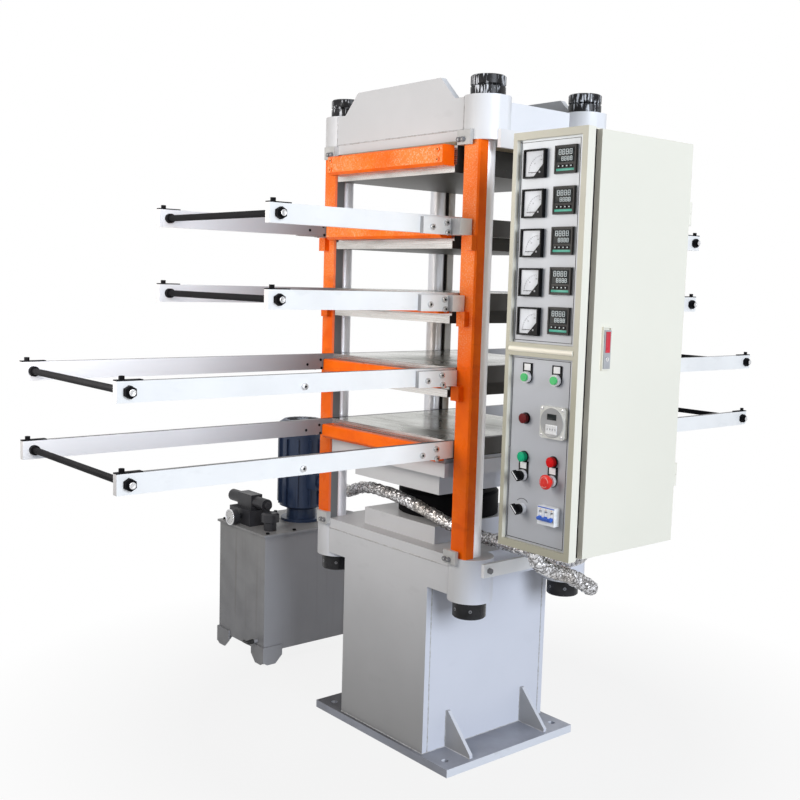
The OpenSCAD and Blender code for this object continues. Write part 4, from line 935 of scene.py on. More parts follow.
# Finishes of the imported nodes
NODE_FINISHES = {
    "frame paint": ["pedestal_plates", "column_bosses", "upper_beam", "cylinder_barrel", "moving_table"],
    "bracket paint": ["cabinet_brackets"],
    "base paint": ["base_plate"],
    "orange paint": ["hanger_steps", "cover_top"] + ["cover_" + tier for tier in TIER_BODIES],
    "post paint": ["guide_posts"],
    "column steel": ["tie_columns"],
    "black steel": ["cylinder_gland"] + ["rods_" + tier for tier in TIER_BODIES],
    "streaked black": ["column_nuts"],
    "tab paint": ["post_tabs"],
    "insulation board": ["insulation_board"],
    "platen steel": ["platen_top"] + ["platen_" + tier for tier in TIER_BODIES],
    "ram chrome": ["ram"],
    "rail paint": ["rails_" + tier for tier in TIER_BODIES],
    "cabinet beige": ["cabinet_shell"],
    "cabinet cream": ["cabinet_door"],
    "panel grey": ["cabinet_panels", "component_plate"],
    "collar silver": ["switch_collars"],
    "handle steel": ["door_handle"],
    "instrument black": ["ammeter_cases", "pilot_lamps", "mode_selector", "power_selector"]
    + ["needle_%d" % (row + 1) for row in range(ROW_COUNT)],
    "controller grey": ["controller_cases"],
    "timer white": ["timer_case"],
    "green button": ["close_button", "open_button"],
    "stop red": ["stop_button"],
    "breaker white": ["breaker_body"],
    "breaker blue": ["breaker_lever"],
    "tank paint": ["oil_tank"],
    "motor paint": ["pump_motor"],
    "valve black": ["valve_block"],
}


# Stage

LIGHT_AIM = Vector((0, -0.2, 1.4))


def seen_directly(tree):
    """Mask of rays from the camera or from a mirror, and not from a lit surface."""
    ray = tree.nodes.new("ShaderNodeLightPath").outputs
    shown = maths(tree, "MAXIMUM", ray["Is Camera Ray"], ray["Is Glossy Ray"])
    return maths(tree, "MAXIMUM", shown, ray["Is Transmission Ray"])


def choose_shader(tree, share, first, second, surface):
    """Mixes two shaders by a share onto a surface."""
    node = tree.nodes.new("ShaderNodeMixShader")
    put(tree, share, node.inputs["Fac"])
    put(tree, first, node.inputs[1])
    put(tree, second, node.inputs[2])
    put(tree, node.outputs["Shader"], surface)


class PRESS_OT_stage(bpy.types.Operator):
    """Adds the camera, the lights, the white surroundings and the floor"""
    bl_idname = "press.stage"
    bl_label = "Stage"

    def execute(self, context):
        scene = context.scene
        studio = scene.press_studio
        scene.view_settings.view_transform = "Standard"
        self.add_camera(scene, studio)
        self.add_world(scene, studio)
        self.add_lights(scene, studio)
        self.add_floor()
        return {"FINISHED"}

    def add_camera(self, scene, studio):
        """Camera turned by its azimuth, then its pitch, then its roll."""
        across = Vector((math.cos(studio.azimuth), math.sin(studio.azimuth), 0))
        level = Vector((-math.sin(studio.azimuth), math.cos(studio.azimuth), 0))
        ahead = level * math.cos(studio.pitch) - UP * math.sin(studio.pitch)
        above = across.cross(ahead)
        side = across * math.cos(studio.roll) + above * math.sin(studio.roll)
        top = above * math.cos(studio.roll) - across * math.sin(studio.roll)
        data = bpy.data.cameras.new("camera")
        data.sensor_width = 36.0
        data.lens = studio.lens
        camera = bpy.data.objects.new("camera", data)
        turn = Matrix((side, top, -ahead)).transposed().to_4x4()
        camera.matrix_world = Matrix.Translation(Vector(studio.place)) @ turn
        scene.collection.objects.link(camera)
        scene.camera = camera

    def add_world(self, scene, studio):
        """White surroundings that light the press only softly."""
        world = bpy.data.worlds.new("studio")
        scene.world = world
        world.use_nodes = True
        tree = world.node_tree
        glow = tree.nodes["Background"]
        put(tree, (0.96, 0.98, 1.0), glow.inputs["Color"])
        put(tree, studio.ambient, glow.inputs["Strength"])
        white = tree.nodes.new("ShaderNodeBackground")
        put(tree, (1, 1, 1), white.inputs["Color"])
        surface = tree.nodes["World Output"].inputs["Surface"]
        choose_shader(tree, seen_directly(tree), glow.outputs[0], white.outputs[0], surface)

    def add_lights(self, scene, studio):
        """Square lights: name, place, side, power, colour and whether mirrors show them."""
        lamps = [
            ("key light", (8.0, -1.2, 3.0), 4.0, studio.key_power, (0.85, 0.91, 1.0), True),
            ("front light", (-0.1, -1.55, 1.6), 0.9, studio.fill_power, (1.0, 0.95, 0.90), True),
            ("rear light", (-3.2, 4.2, 1.3), 3.0, studio.rear_power, (1.0, 1.0, 1.0), False),
        ]
        for name, place, side, power, tint, mirrored in lamps:
            data = bpy.data.lights.new(name, "AREA")
            data.shape = "SQUARE"
            data.size = side
            data.energy = power
            data.color = tint
            lamp = bpy.data.objects.new(name, data)
            lamp.visible_camera = False
            lamp.visible_glossy = mirrored
            turn = (LIGHT_AIM - Vector(place)).to_track_quat("-Z", "Y").to_matrix().to_4x4()
            lamp.matrix_world = Matrix.Translation(place) @ turn
            scene.collection.objects.link(lamp)

    def add_floor(self):
        """Floor that looks white, with a soft shadow near the press."""
        deselect()
        bpy.ops.mesh.primitive_plane_add(size=40, location=ORIGIN)
        floor = settle("floor")
        material = bpy.data.materials.new("pale floor")
        material.use_nodes = True
        tree = material.node_tree
        shader = tree.nodes["Principled BSDF"]
        put(tree, (0.36, 0.36, 0.36), shader.inputs["Base Color"])
        put(tree, 0.9, shader.inputs["Roughness"])
        white = tree.nodes.new("ShaderNodeEmission")
        put(tree, (1, 1, 1), white.inputs["Color"])
        distance = tree.nodes.new("ShaderNodeVectorMath")
        distance.operation = "LENGTH"
        put(tree, spot_on(tree), distance.inputs["Vector"])
        fade = remap(tree, distance.outputs["Value"], 0.8, 1.7, 0.86, 1.0)
        share = maths(tree, "MULTIPLY", seen_directly(tree), fade)
        surface = tree.nodes["Material Output"].inputs["Surface"]
        choose_shader(tree, share, shader.outputs[0], white.outputs[0], surface)
        floor.data.materials.append(material)


# Cords

def smooth_route(points, steps=6):
    """Points of a smooth curve through a route."""
    route = [Vector(point) for point in points]
    line = []
    for i in range(len(route) - 1):
        before = route[max(i - 1, 0)]
        start = route[i]
        end = route[i + 1]
        after = route[min(i + 2, len(route) - 1)]
        for k in range(steps):
            t = k / steps
            line.append(0.5 * (
                2 * start + (end - before) * t + (2 * before - 5 * start + 4 * end - after) * t * t
                + (3 * start - before - 3 * end + after) * t * t * t))
    line.append(route[-1])
    return line


class PRESS_OT_cords(bpy.types.Operator):
    """Wraps the wiring conduit and the supply tail in crinkled foil"""
    bl_idname = "press.cords"
    bl_label = "Wrapped cords"
    # Share of the cord's width before the foil is crinkled, shares towards a bare end, smooth length at ends
    SNUG = 0.97
    BARE_TAPER = [0.96, 0.82, 0.55, 0.20]
    SMOOTH_END = 24 * MM

    def execute(self, context):
        self.wrap("foil_conduit", CONDUIT_ROUTE, sizes().conduit_width, "wiring_conduit", "object")
        self.wrap("foil_tail", TAIL_ROUTE, sizes().tail_width, "supply_tail", "bare")
        return {"FINISHED"}

    def wrap(self, name, route, width, node, far_end):
        """One cord along its route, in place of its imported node."""
        line = smooth_route(route)
        taper = [1.0] * len(line)
        if far_end == "bare":
            taper[-len(self.BARE_TAPER):] = self.BARE_TAPER
        piece = strokes(name, [line], width / 2 * self.SNUG, [taper], roundness=4)
        self.crinkle(piece, line)
        dress(piece, "frame", "foil wrap")
        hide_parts(node)

    def crinkle(self, piece, line):
        """Pushes the wrap in and out at random, except near its two ends."""
        draw = random.Random(7)
        for vertex in piece.data.vertices:
            free = min((vertex.co - end).length for end in (line[0], line[-1])) > self.SMOOTH_END
            push = draw.uniform(-1.0, 0.7)
            if free:
                vertex.co += vertex.normal * sizes().crinkle * push


# Frame and rails

class PRESS_OT_finishes(bpy.types.Operator):
    """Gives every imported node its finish"""
    bl_idname = "press.finishes"
    bl_label = "Finishes"

    def execute(self, context):
        for name, nodes in NODE_FINISHES.items():
            for node in nodes:
                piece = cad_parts[node]
                piece.data.materials.clear()
                piece.data.materials.append(finish(name))
        return {"FINISHED"}


class PRESS_OT_welds(bpy.types.Operator):
    """Lays lumpy weld beads along the frame's joints"""
    bl_idname = "press.welds"
    bl_label = "Weld beads"
    WALL = 20 * MM
    ARM_HEIGHT = 550 * MM
    PLATE_REACH = 292 * MM
    TABLE_HALF_WIDTH = 205 * MM
    TABLE_HALF_DEPTH = 230 * MM
    GUSSET_HEIGHT = 117 * MM
    GUSSET_LENGTH = 112 * MM
    STEP = 5 * MM

    def execute(self, context):
        self.random = random.Random(3)
        lines = self.frame_lines() + self.gusset_lines()
        dress(self.bead("frame_welds", lines), "frame", "weld paint")
        dress(self.bead("table_welds", self.table_lines()), "table", "weld paint")
        return {"FINISHED"}

    def frame_lines(self):
        """Joints of the pedestal and the upper beam."""
        pedestal_low, pedestal_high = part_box("pedestal_plates")
        beam_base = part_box("upper_beam")[0].z
        base_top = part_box("base_plate")[1].z
        front = pedestal_low.y
        half = PEDESTAL_HALF
        reach = self.PLATE_REACH
        lines = []
        for y in (front, -front):
            for z in (pedestal_high.z - 32 * MM, beam_base + 30 * MM):
                lines.append(((-reach, y, z), (reach, y, z)))
            lines.append(((-half, y, base_top), (half, y, base_top)))
            for x in (-reach - 3 * MM, reach + 3 * MM):
                lines.append(((x, y, beam_base), (x, y, beam_base + 120 * MM)))
        for x in (-half, half):
            lines.append(((x, front, base_top), (x, -front, base_top)))
            for y in (front + self.WALL, -front - self.WALL):
                lines.append(((x, y, base_top), (x, y, self.ARM_HEIGHT)))
        return lines

    def gusset_lines(self):
        """Both faces of the four gussets beside the pedestal."""
        base_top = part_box("base_plate")[1].z
        lines = []
        for side in (-1, 1):
            x = side * PEDESTAL_HALF
            for y in (-165 * MM, 165 * MM):
                for face in (y - 6 * MM, y + 6 * MM):
                    root = (x, face, base_top)
                    lines.append((root, (x, face, base_top + self.GUSSET_HEIGHT)))
                    lines.append((root, (x + side * self.GUSSET_LENGTH, face, base_top)))
        return lines

    def table_lines(self):
        """Ring round the moving table."""
        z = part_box("moving_table")[0].z + 68 * MM
        x = self.TABLE_HALF_WIDTH
        y = self.TABLE_HALF_DEPTH
        ring = [(-x, -y, z), (x, -y, z), (x, y, z), (-x, y, z), (-x, -y, z)]
        return list(zip(ring, ring[1:]))

    def bead(self, name, lines):
        """Uneven bead along each line."""
        paths = []
        radii = []
        for start, end in lines:
            start = Vector(start)
            end = Vector(end)
            count = max(2, int((end - start).length / self.STEP))
            path = []
            widths = []
            for i in range(count + 1):
                jitter = Vector([self.random.uniform(-0.5, 0.5) * MM for axis in range(3)])
                path.append(start.lerp(end, i / count) + jitter)
                widths.append(0.8 + 0.2 * math.sin(i * 2.1) + self.random.uniform(-0.15, 0.15))
            paths.append(path)
            radii.append(widths)
        return strokes(name, paths, sizes().weld_bead, radii)


def socket_screw(radius, height):
    """Cap screw with a hexagon socket, standing on the origin, with a dark second finish inside as painted
    shade.
    """
    head = drum("socket_screw", ORIGIN, UP, radius, height, 24)
    soften(head, radius * 0.12)
    cut(head, drum("socket", (0, 0, height * 0.45), UP, radius * 0.44, height, 6))
    # Painted shade: faces inside the socket take the dark second finish.
    for face in head.data.polygons:
        if face.center.xy.length < radius * 0.46 and face.center.z < height * 0.98:
            face.material_index = 1
    return head


def screw_set(name, places, body, tone="bright steel", radius=None, height=None):
    """Socket screws at places, riding on one body."""
    template = socket_screw(radius or sizes().screw_radius, height or sizes().screw_height)
    template.data.materials.append(finish(tone))
    # The dark ink inside the sockets is painted shade.
    template.data.materials.append(finish("ink"))
    piece = stamp(template, places, name)
    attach(piece, body)


class PRESS_OT_screws(bpy.types.Operator):
    """Adds the socket screws of the posts, rails, lugs, covers and column nuts"""
    bl_idname = "press.screws"
    bl_label = "Socket screws"
    # Screws of a lug: distance from the press's middle and from the rails' top, in millimetres
    LUG_PATTERN = [(-381, -33), (-329, -19), (-325, -46)]
    FAR_SCREW_Y = 789 * MM
    NUT_RADIUS = 49.3 * MM

    def execute(self, context):
        self.add_tab_screws()
        for tier, body in TIER_BODIES.items():
            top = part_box("rails_" + tier)[1].z
            self.add_rail_screws(tier, body, top)
            self.add_screw_tips(tier, body, top)
        self.add_cover_screws()
        self.add_set_screws()
        return {"FINISHED"}

    def add_tab_screws(self):
        """Screws of the tabs that hold the guide posts."""
        low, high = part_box("post_tabs")
        seat = low.y + 8 * MM
        places = []
        for x in (299 * MM, 315 * MM):
            for z in (low.z + 14 * MM, high.z - 26 * MM):
                for side in (-1, 1):
                    places.append(at((side * x, seat, z), FRONT))
                    places.append(at((side * x, -seat, z), REAR))
        screw_set("tab_screws", places, "frame", "valve steel", 7.0 * MM, 8.4 * MM)

    def lug_places(self, face, top, direction):
        """Places of the lug screws on one side of the press."""
        return [at((face, turn * y * MM, top + z * MM), direction)
                for y, z in self.LUG_PATTERN for turn in BOTH]

    def add_rail_screws(self, tier, body, top):
        """Screws of the lugs, and one farther out on each rail of the two lower pairs."""
        face = RAIL_OUTER if tier == "bottom" else LUG_OUTER
        places = []
        for side, direction in ((1, RIGHT), (-1, LEFT)):
            places += self.lug_places(side * face, top, direction)
            if tier in ("bottom", "lower"):
                for turn in BOTH:
                    spot = (side * RAIL_OUTER, -turn * self.FAR_SCREW_Y, top - 33 * MM)
                    places.append(at(spot, direction))
        screw_set("rail_screws_" + tier, places, body, height=7 * MM)

    def add_screw_tips(self, tier, body, top):
        """Dark tips of the lug screws on the rails' inner faces."""
        tip = drum("tip", ORIGIN, UP, 4.5 * MM, 1.2 * MM, 20)
        soften(tip, 0.4 * MM)
        places = self.lug_places(RAIL_INNER, top, LEFT) + self.lug_places(-RAIL_INNER, top, RIGHT)
        dress(stamp(tip, places, "rail_screw_tips_" + tier), body, "black steel")

    def add_cover_screws(self):
        """Screws of the top terminal cover."""
        low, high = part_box("cover_top")
        places = [at((x, low.y, z), FRONT)
                  for x in (low.x + 18 * MM, high.x - 18 * MM) for z in (low.z + 16 * MM, high.z - 14 * MM)]
        screw_set("cover_screws", places, "frame", "orange paint", 6.5 * MM, 4 * MM)

    def add_set_screws(self):
        """Set screws round the lowest column nuts."""
        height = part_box("column_nuts")[0].z + 26 * MM
        places = []
        for x in (-COLUMN_X, COLUMN_X):
            for y in (-COLUMN_Y, COLUMN_Y):
                for degrees in (-100, -40, 80, 140):
                    out = Matrix.Rotation(math.radians(degrees), 3, "Z") @ RIGHT
                    places.append(at(Vector((x, y, height)) + out * self.NUT_RADIUS, out))
        screw_set("nut_set_screws", places, "frame", "valve steel", 5 * MM, 1.6 * MM)


class PRESS_OT_rod_ends(bpy.types.Operator):
    """Adds the bright thread ends of the cross rods"""
    bl_idname = "press.rod_ends"
    bl_label = "Rod ends"

    def execute(self, context):
        for tier, body in TIER_BODIES.items():
            low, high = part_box("rails_" + tier)
            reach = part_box("rods_" + tier)[1].x
            end = drum("thread_end", ORIGIN, UP, 8.2 * MM, 1.4 * MM, 24)
            sink(end, UP, 2.2 * MM, 0.4 * MM)
            soften(end, 0.4 * MM)
            places = [at((side * reach, y, high.z - 25 * MM), side * RIGHT)
                      for side in (-1, 1) for y in (low.y + 30 * MM, high.y - 30 * MM)]
            dress(stamp(end, places, "thread_ends_" + tier), body, "bright steel")
        return {"FINISHED"}


# Panel instruments

class PRESS_OT_ammeters(bpy.types.Operator):
    """Fits the ammeters with dials, scales, plain numbers and zero screws"""
    bl_idname = "press.ammeters"
    bl_label = "Ammeters"
    MARKS_Y = 4.85 * MM
    SCALE_RADIUS = METER_SIDE * 0.57
    NUMBERS = (("0", 180), ("50", 135), ("100", 90))

    def execute(self, context):
        self.places = [Matrix.Translation((METER_X, METER_LOW.y, z)) for z in METER_ROWS]
        self.add_dials()
        self.add_scales()
        self.add_zero_screws()
        return {"FINISHED"}

    def add_dials(self):
        """Paper dials behind the windows."""
        half = METER_SIDE / 2 - 4.4 * MM
        plate = block("dial", (-half, 5 * MM, -half), (half, 6.95 * MM, half))
        soften(plate, 0.6 * MM)
        dress(stamp(plate, self.places, "ammeter_dials"), "frame", "dial paper")

    def add_scales(self):
        """Arcs with ten parts, plain numbers and a short line below."""
        pivot = Vector((METER_PIVOT, self.MARKS_Y, -METER_PIVOT))
        lines = [[pivot + clock(90 + 90 * i / 24) * self.SCALE_RADIUS for i in range(25)]]
        for i in range(11):
            mark = 5 * MM if i % 5 == 0 else 3 * MM
            out = clock(90 + 9 * i)
            lines.append([pivot + out * (self.SCALE_RADIUS - mark), pivot + out * self.SCALE_RADIUS])
        lines.append([(-24 * MM, self.MARKS_Y, -24 * MM), (-6 * MM, self.MARKS_Y, -24 * MM)])
        marks = [strokes("dial_marks", lines, 0.22 * MM)]
        for words, degrees in self.NUMBERS:
            place = pivot + clock(degrees) * (self.SCALE_RADIUS - 10 * MM)
            marks.append(numeral("dial_number", words, 4.5 * MM, place))
        scales = stamp(join(marks, "dial_marks"), self.places, "ammeter_scales")
        dress(scales, "frame", "dial grey")

    def add_zero_screws(self):
        """Slotted screws at the pointers' pivots."""
        screw = drum("zero_screw", mm(0, 0.5, 0), FRONT, 2.4 * MM, 1.2 * MM, 24)
        cut(screw, block("groove", mm(-4, -1.5, -0.5), mm(4, -0.1, 0.5)))
        soften(screw, 0.2 * MM)
        pivot = Matrix.Translation((METER_PIVOT, 0, -METER_PIVOT))
        screws = stamp(screw, [place @ pivot for place in self.places], "zero_screws")
        dress(screws, "frame", "handle steel")


class PRESS_OT_controllers(bpy.types.Operator):
    """Fits the temperature controllers with windows, digits, keys and a green strip"""
    bl_idname = "press.controllers"
    bl_label = "Temperature controllers"
    # Seven strokes of a figure, in shares of its width and of its half height
    SEGMENTS = [((0, 1), (1, 1)), ((0, 0), (1, 0)), ((0, -1), (1, -1)), ((0, 0), (0, 1)), ((1, 0), (1, 1)),
                ((0, -1), (0, 0)), ((1, -1), (1, 0))]
    COUNT = 4
    # Distance between keys, in millimetres
    KEY_PITCH = 13

    def execute(self, context):
        face = PANEL_Y - 6 * MM
        self.places = [Matrix.Translation((CONTROL_X, face, z)) for z in CONTROL_ROWS]
        window = sink(block("window", mm(-27, -1.2, -7), mm(27, 0, 27)), FRONT, 1.2 * MM, 0.5 * MM)
        self.fit(soften(window, 0.3 * MM), "controller_windows", "controller glass")
        digits = self.digit_row(17.5, 6.6, 11.6) + self.digit_row(1.5, 5.2, 9.0, 5.0)
        self.fit(strokes("digits", digits, 0.9 * MM), "controller_digits", "digit pale")
        self.add_keys()
        strip = block("strip", mm(-28, -0.8, -27), mm(28, 0, -21.5))
        self.fit(soften(strip, 0.3 * MM), "controller_strips", "controller teal")
        return {"FINISHED"}

    def fit(self, template, name, tone):
        """Puts a template onto every controller."""
        dress(stamp(template, self.places, name), "frame", tone)

    def digit_row(self, z, wide, high, shift=0.0):
        """Four figures of seven strokes each, with their sizes in millimetres."""
        lines = []
        for i in range(self.COUNT):
            x = (i - 1.5) * wide * 1.72 - wide / 2 + shift
            for ends in self.SEGMENTS:
                lines.append([mm(x + across * wide, -0.9, z + up * high / 2) for across, up in ends])
        return lines

    def add_keys(self):
        """Row of keys, each with a pale mark."""
        keys = []
        marks = []
        for i in range(self.COUNT):
            x = (i - 1.5) * self.KEY_PITCH
            key = block("key", mm(x - 4.5, -1.6, -19.5), mm(x + 4.5, 0, -12))
            sink(key, FRONT, 0.8 * MM, -0.4 * MM)
            keys.append(soften(key, 0.5 * MM))
            mark = block("mark", mm(x - 1.8, -2.3, -17.2), mm(x + 1.8, -1.9, -14.2))
            marks.append(soften(mark, 0.15 * MM))
        self.fit(join(keys, "keys"), "controller_keys", "instrument black")
        self.fit(join(marks, "marks"), "controller_key_marks", "digit pale")


class PRESS_OT_timer(bpy.types.Operator):
    """Fits the timer with its round face, display, thumbwheels and corner screws"""
    bl_idname = "press.timer"
    bl_label = "Timer"
    # Places of the four thumbwheels across the timer, and of the corner screws, in millimetres
    WHEELS = [(i - 1.5) * 8.4 for i in range(4)]
    CORNERS = [(-33, -33), (-33, 33), (33, -33), (33, 33)]

    def execute(self, context):
        seat = middle("timer_case")
        seat.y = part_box("timer_case")[0].y
        ring = sink(drum("timer_face", seat, FRONT, 36.6 * MM, 1.2 * MM, 64), FRONT, 1.6 * MM, 0.4 * MM)
        dress(soften(ring, 0.3 * MM), "frame", "timer grey")
        display = block("timer_display", seat + mm(-14.5, -2.0, 7), seat + mm(14.5, -0.4, 21.5))
        sink(display, FRONT, 1.2 * MM, 0.6 * MM)
        dress(soften(display, 0.3 * MM), "frame", "controller glass")
        self.add_wheels(seat)
        places = [at(seat + mm(x, 1, z), FRONT) for x, z in self.CORNERS]
        screw_set("timer_screws", places, "frame", radius=3.2 * MM, height=1.6 * MM)
        return {"FINISHED"}

    def add_wheels(self, seat):
        """Plate with a slot and a figure for each thumbwheel."""
        plate = block("timer_wheel_plate", seat + mm(-18, -2.4, -28), seat + mm(18, -0.4, -5))
        for x in self.WHEELS:
            cut(plate, block("slot", seat + mm(x - 2.6, -4, -24), seat + mm(x + 2.6, -1.2, -9)))
        dress(soften(plate, 0.3 * MM), "frame", "label white")
        figures = [numeral("figure", "0", 7 * MM, seat + mm(x, -1.3, -16.5)) for x in self.WHEELS]
        dress(join(figures, "timer_figures"), "frame", "ink")


class PRESS_OT_panel_fittings(bpy.types.Operator):
    """Adds lamp lenses, label holders, knob marks, border lines and panel screws"""
    bl_idname = "press.panel_fittings"
    bl_label = "Panel fittings"
    LAMP_RADIUS = 14.5 * MM
    ARC_RADIUS = 25 * MM
    ARROW_RADIUS = 12.5 * MM
    LABELLED = ("close_button", "open_button", "mode_selector", "stop_button")

    def execute(self, context):
        self.add_lenses()
        self.add_label_holders()
        self.add_knob_marks()
        self.add_stop_arrows()
        self.add_borders()
        self.add_rail_bead()
        self.add_panel_screws()
        self.add_breaker_marks()
        return {"FINISHED"}

    def add_lenses(self):
        """Lenses of the three pilot lamps."""
        low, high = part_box("pilot_lamps")
        left = low.x + self.LAMP_RADIUS
        right = high.x - self.LAMP_RADIUS
        lower = low.z + self.LAMP_RADIUS
        upper = high.z - self.LAMP_RADIUS
        lamps = [("lens_dark_red", left, upper, "dark red lens"), ("lens_green", left, lower, "green lens"),
                 ("lens_red", right, lower, "red lens")]
        for name, x, z, tone in lamps:
            lens = drum(name, (x, PANEL_Y - 3.2 * MM, z), FRONT, 12.8 * MM, 11.2 * MM, 40)
            sink(lens, FRONT, 3.0 * MM, -1.0 * MM)
            dress(soften(lens, 2.2 * MM, 3), "frame", tone)

    def add_label_holders(self):
        """Black holders above the buttons, with blank labels."""
        centres = [middle(node) for node in self.LABELLED]
        places = [Matrix.Translation((centre.x, PANEL_Y, centre.z)) for centre in centres]
        holder = drum("holder", ORIGIN, FRONT, 15.5 * MM, 2.8 * MM, 48)
        combine(holder, block("upper", mm(-15.5, -2.8, 0), mm(15.5, 0, 36)), "UNION")
        soften(holder, 0.8 * MM)
        dress(stamp(holder, places, "label_holders"), "frame", "instrument black")
        label = soften(block("label", mm(-10.5, -3.2, 17), mm(10.5, -2.4, 33.5)), 0.25 * MM)
        dress(stamp(label, places, "blank_labels"), "frame", "label white")

    def add_knob_marks(self):
        """White marks on the two knobs, and an arc over the power knob."""
        for node, body in (("mode_selector", "mode_knob"), ("power_selector", "power_knob")):
            seat = middle(node)
            seat.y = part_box(node)[0].y
            mark = soften(block(node + "_mark", mm(-1.5, -0.5, -12), mm(1.5, 1, 14)), 0.3 * MM)
            mark.data.transform(Matrix.Translation(seat) @ Matrix.Rotation(math.radians(-45), 4, "Y"))
            dress(mark, body, "label white")
        centre = middle("power_selector")
        centre.y = PANEL_Y - 0.2 * MM
        arc = [centre + clock(degrees) * self.ARC_RADIUS for degrees in range(135, 40, -5)]
        dress(strokes("knob_arc", [arc], 0.7 * MM), "frame", "ink")

    def add_stop_arrows(self):
        """Three pale strokes round the stop button's face."""
        centre = middle("stop_button")
        centre.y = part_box("stop_button")[0].y + 1.2 * MM
        lines = [[centre + clock(turn + 8 * step) * self.ARROW_RADIUS for step in range(10)]
                 for turn in (0, 120, 240)]
        dress(strokes("stop_arrows", lines, 1.2 * MM), "stop_push", "arrow pink")

    def add_borders(self):
        """Dark border line on each panel."""
        edge = 6 * MM
        y = PANEL_Y - 0.1 * MM
        lines = []
        for low, high in WINDOWS:
            left = low.x + edge
            right = high.x - 15 * MM
            foot = low.z + edge
            head = high.z - edge
            corners = [(left, foot), (right, foot), (right, head), (left, head), (left, foot)]
            lines.append([(x, y, z) for x, z in corners])
        dress(strokes("panel_borders", lines, 0.9 * MM), "frame", "ink")

    def add_rail_bead(self):
        """Half-round bead along the rail between the two windows."""
        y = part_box("cabinet_shell")[0].y + 4 * MM
        z = (WINDOWS[0][1].z + WINDOWS[1][0].z) / 2
        bead = strokes("rail_bead", [[(WINDOW_LEFT, y, z), (WINDOW_RIGHT, y, z)]], 8 * MM, roundness=4)
        dress(bead, "frame", "cabinet cream")

    def add_panel_screws(self):
        """Small screws along both sides of each panel."""
        edge = 4 * MM
        places = []
        for low, high in WINDOWS:
            for x in (low.x + edge, high.x - edge):
                for z in (low.z + edge, (low.z + high.z) / 2, high.z - edge):
                    places.append(at((x, PANEL_Y, z), FRONT))
        screw_set("panel_screws", places, "frame", "handle steel", 2.4 * MM, 1.4 * MM)

    def add_breaker_marks(self):
        """Blue band, amber dots, and the white drums that turn with the toggles and close their slots."""
        low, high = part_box("breaker_body")
        centre = middle("breaker_body")
        band = block("breaker_band", (low.x + MM, low.y - 0.6 * MM, centre.z + 19.5 * MM),
                     (high.x - MM, low.y + 0.4 * MM, centre.z + 22 * MM))
        dress(soften(band, 0.2 * MM), "frame", "breaker blue")
        pitch = (high.x - low.x) / 3
        dots = []
        drums = []
        for x in (centre.x - pitch, centre.x, centre.x + pitch):
            dot = drum("dot", (x, low.y, centre.z + 15.6 * MM), FRONT, 1.5 * MM, 0.6 * MM, 20)
            dots.append(soften(dot, 0.2 * MM))
            axle = (x - 5 * MM, low.y + 10 * MM, centre.z)
            drums.append(soften(drum("drum", axle, RIGHT, 9.4 * MM, 10 * MM, 40), 0.3 * MM))
        dress(join(dots, "breaker_dots"), "frame", "breaker amber")
        dress(join(drums, "breaker_drums"), "breaker_toggle", "breaker white")


# Door and power unit

class PRESS_OT_door_lock(bpy.types.Operator):
    """Adds the lock barrel and the red push on the flap handle"""
    bl_idname = "press.door_lock"
    bl_label = "Door lock"

    def execute(self, context):
        low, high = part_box("door_handle")
        centre = middle("door_handle")
        key = Vector((high.x, centre.y, centre.z - 24 * MM))
        barrel = drum("lock_barrel", key - 2 * MM * RIGHT, RIGHT, 5.6 * MM, 3.2 * MM, 32)
        cut(barrel, block("keyway", key + mm(-1, -0.8, -3.4), key + mm(3, 0.8, 3.4)))
        dress(soften(barrel, 0.4 * MM), "handle", "chrome trim")
        push = block("lock_push", (high.x, low.y + 4 * MM, centre.z - 8 * MM),
                     (high.x + 1.5 * MM, high.y - 4 * MM, high.z - 4 * MM))
        sink(push, RIGHT, 1.2 * MM, 0.4 * MM)
        dress(soften(push, 0.5 * MM), "handle", "lock red")
        return {"FINISHED"}


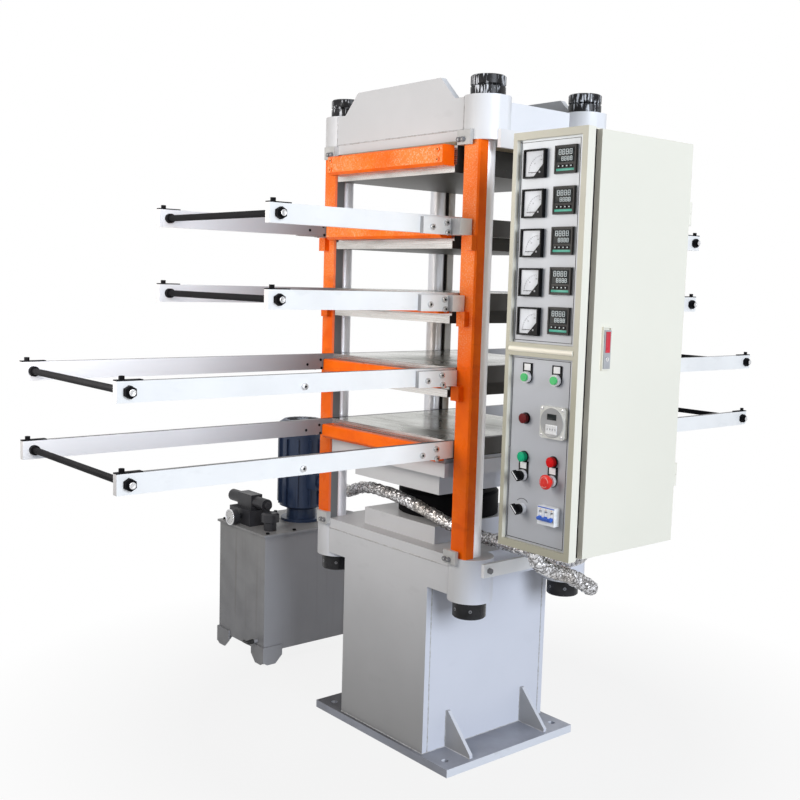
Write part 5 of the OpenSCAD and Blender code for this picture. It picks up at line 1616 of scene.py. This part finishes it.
class PRESS_OT_power_unit(bpy.types.Operator):
    """Adds the gauge's dial, painted shade for the motor cowl's slots and the lid's screws"""
    bl_idname = "press.power_unit"
    bl_label = "Power unit"
    GAUGE_X = -985 * MM
    SLOTS = 16
    SLOT_INNER = 26 * MM
    SLOT_OUTER = 62 * MM

    def execute(self, context):
        self.add_gauge()
        self.add_cowl_slots()
        self.add_lid_screws()
        return {"FINISHED"}

    def add_gauge(self):
        """Bezel, white face, eleven marks and a pointer."""
        seat = Vector((self.GAUGE_X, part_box("valve_block")[0].y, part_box("oil_tank")[1].z + 30 * MM))
        bezel = sink(drum("gauge_bezel", seat, FRONT, 31 * MM, 4 * MM, 48), FRONT, 3 * MM, 2.4 * MM)
        dress(soften(bezel, 0.6 * MM), "frame", "chrome trim")
        face = drum("gauge_face", seat + mm(0, -1.4, 0), FRONT, 27.6 * MM, 0.8 * MM, 48)
        dress(soften(face, 0.2 * MM), "frame", "label white")
        dial = seat + mm(0, -2.3, 0)
        arrows = [clock(225 - 27 * i) for i in range(11)]
        lines = [[dial + out * 20 * MM, dial + out * 25 * MM] for out in arrows]
        lines.append([seat + mm(0, -2.6, 0), seat + mm(-13, -2.6, -13)])
        dress(strokes("gauge_marks", lines, 0.6 * MM), "frame", "ink")

    def add_cowl_slots(self):
        """Dark strokes round the top of the motor's cowl, painted shade that stands in for its slots."""
        low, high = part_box("pump_motor")
        radius = (high.y - low.y) / 2
        axis = Vector((low.x + radius, low.y + radius, high.z + 0.2 * MM))
        lines = []
        for i in range(self.SLOTS):
            out = Matrix.Rotation(math.tau * i / self.SLOTS, 3, "Z") @ RIGHT
            lines.append([axis + out * self.SLOT_INNER, axis + out * self.SLOT_OUTER])
        # Painted shade: dark strokes in place of open slots.
        dress(strokes("cowl_slots", lines, 2.2 * MM), "frame", "valve black")

    def add_lid_screws(self):
        """Two rows of screws on the tank's lid."""
        low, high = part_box("oil_tank")
        edge = 16 * MM
        first = low.y + 46 * MM + edge
        pitch = (high.y - low.y - 78 * MM) / 4
        rows = (low.x + edge, high.x - edge)
        places = [at((x, first + i * pitch, high.z)) for i in range(5) for x in rows]
        screw_set("lid_screws", places, "frame", "black steel", 7 * MM, 6 * MM)


# Add-on

STEPS = [
    PRESS_OT_stage, PRESS_OT_cords, PRESS_OT_finishes, PRESS_OT_welds, PRESS_OT_screws, PRESS_OT_rod_ends,
    PRESS_OT_ammeters, PRESS_OT_controllers, PRESS_OT_timer, PRESS_OT_panel_fittings, PRESS_OT_door_lock,
    PRESS_OT_power_unit,
]


class PRESS_PT_sidebar(bpy.types.Panel):
    """Lists the press's settings and steps"""
    bl_label = "Vulcanizing press"
    bl_idname = "PRESS_PT_sidebar"
    bl_space_type = "VIEW_3D"
    bl_region_type = "UI"
    bl_category = "Press"

    def draw(self, context):
        column = self.layout.column()
        for step in STEPS:
            column.operator(step.bl_idname)
        for settings in (context.scene.press_colours, context.scene.press_sizes, context.scene.press_studio):
            for label in settings.__annotations__:
                column.prop(settings, label)


CLASSES = [PressColours, PressSizes, StudioSettings, *STEPS, PRESS_PT_sidebar]


def register():
    """Adds the classes and their settings."""
    for item in CLASSES:
        bpy.utils.register_class(item)
    bpy.types.Scene.press_colours = bpy.props.PointerProperty(type=PressColours)
    bpy.types.Scene.press_sizes = bpy.props.PointerProperty(type=PressSizes)
    bpy.types.Scene.press_studio = bpy.props.PointerProperty(type=StudioSettings)


def unregister():
    """Takes the settings and the classes away."""
    del bpy.types.Scene.press_studio
    del bpy.types.Scene.press_sizes
    del bpy.types.Scene.press_colours
    for item in reversed(CLASSES):
        bpy.utils.unregister_class(item)


def main():
    """Dresses the press step by step."""
    register()
    bpy.ops.press.stage()
    bpy.ops.press.cords()
    bpy.ops.press.finishes()
    bpy.ops.press.welds()
    bpy.ops.press.screws()
    bpy.ops.press.rod_ends()
    bpy.ops.press.ammeters()
    bpy.ops.press.controllers()
    bpy.ops.press.timer()
    bpy.ops.press.panel_fittings()
    bpy.ops.press.door_lock()
    bpy.ops.press.power_unit()


if __name__ == "__main__":
    main()
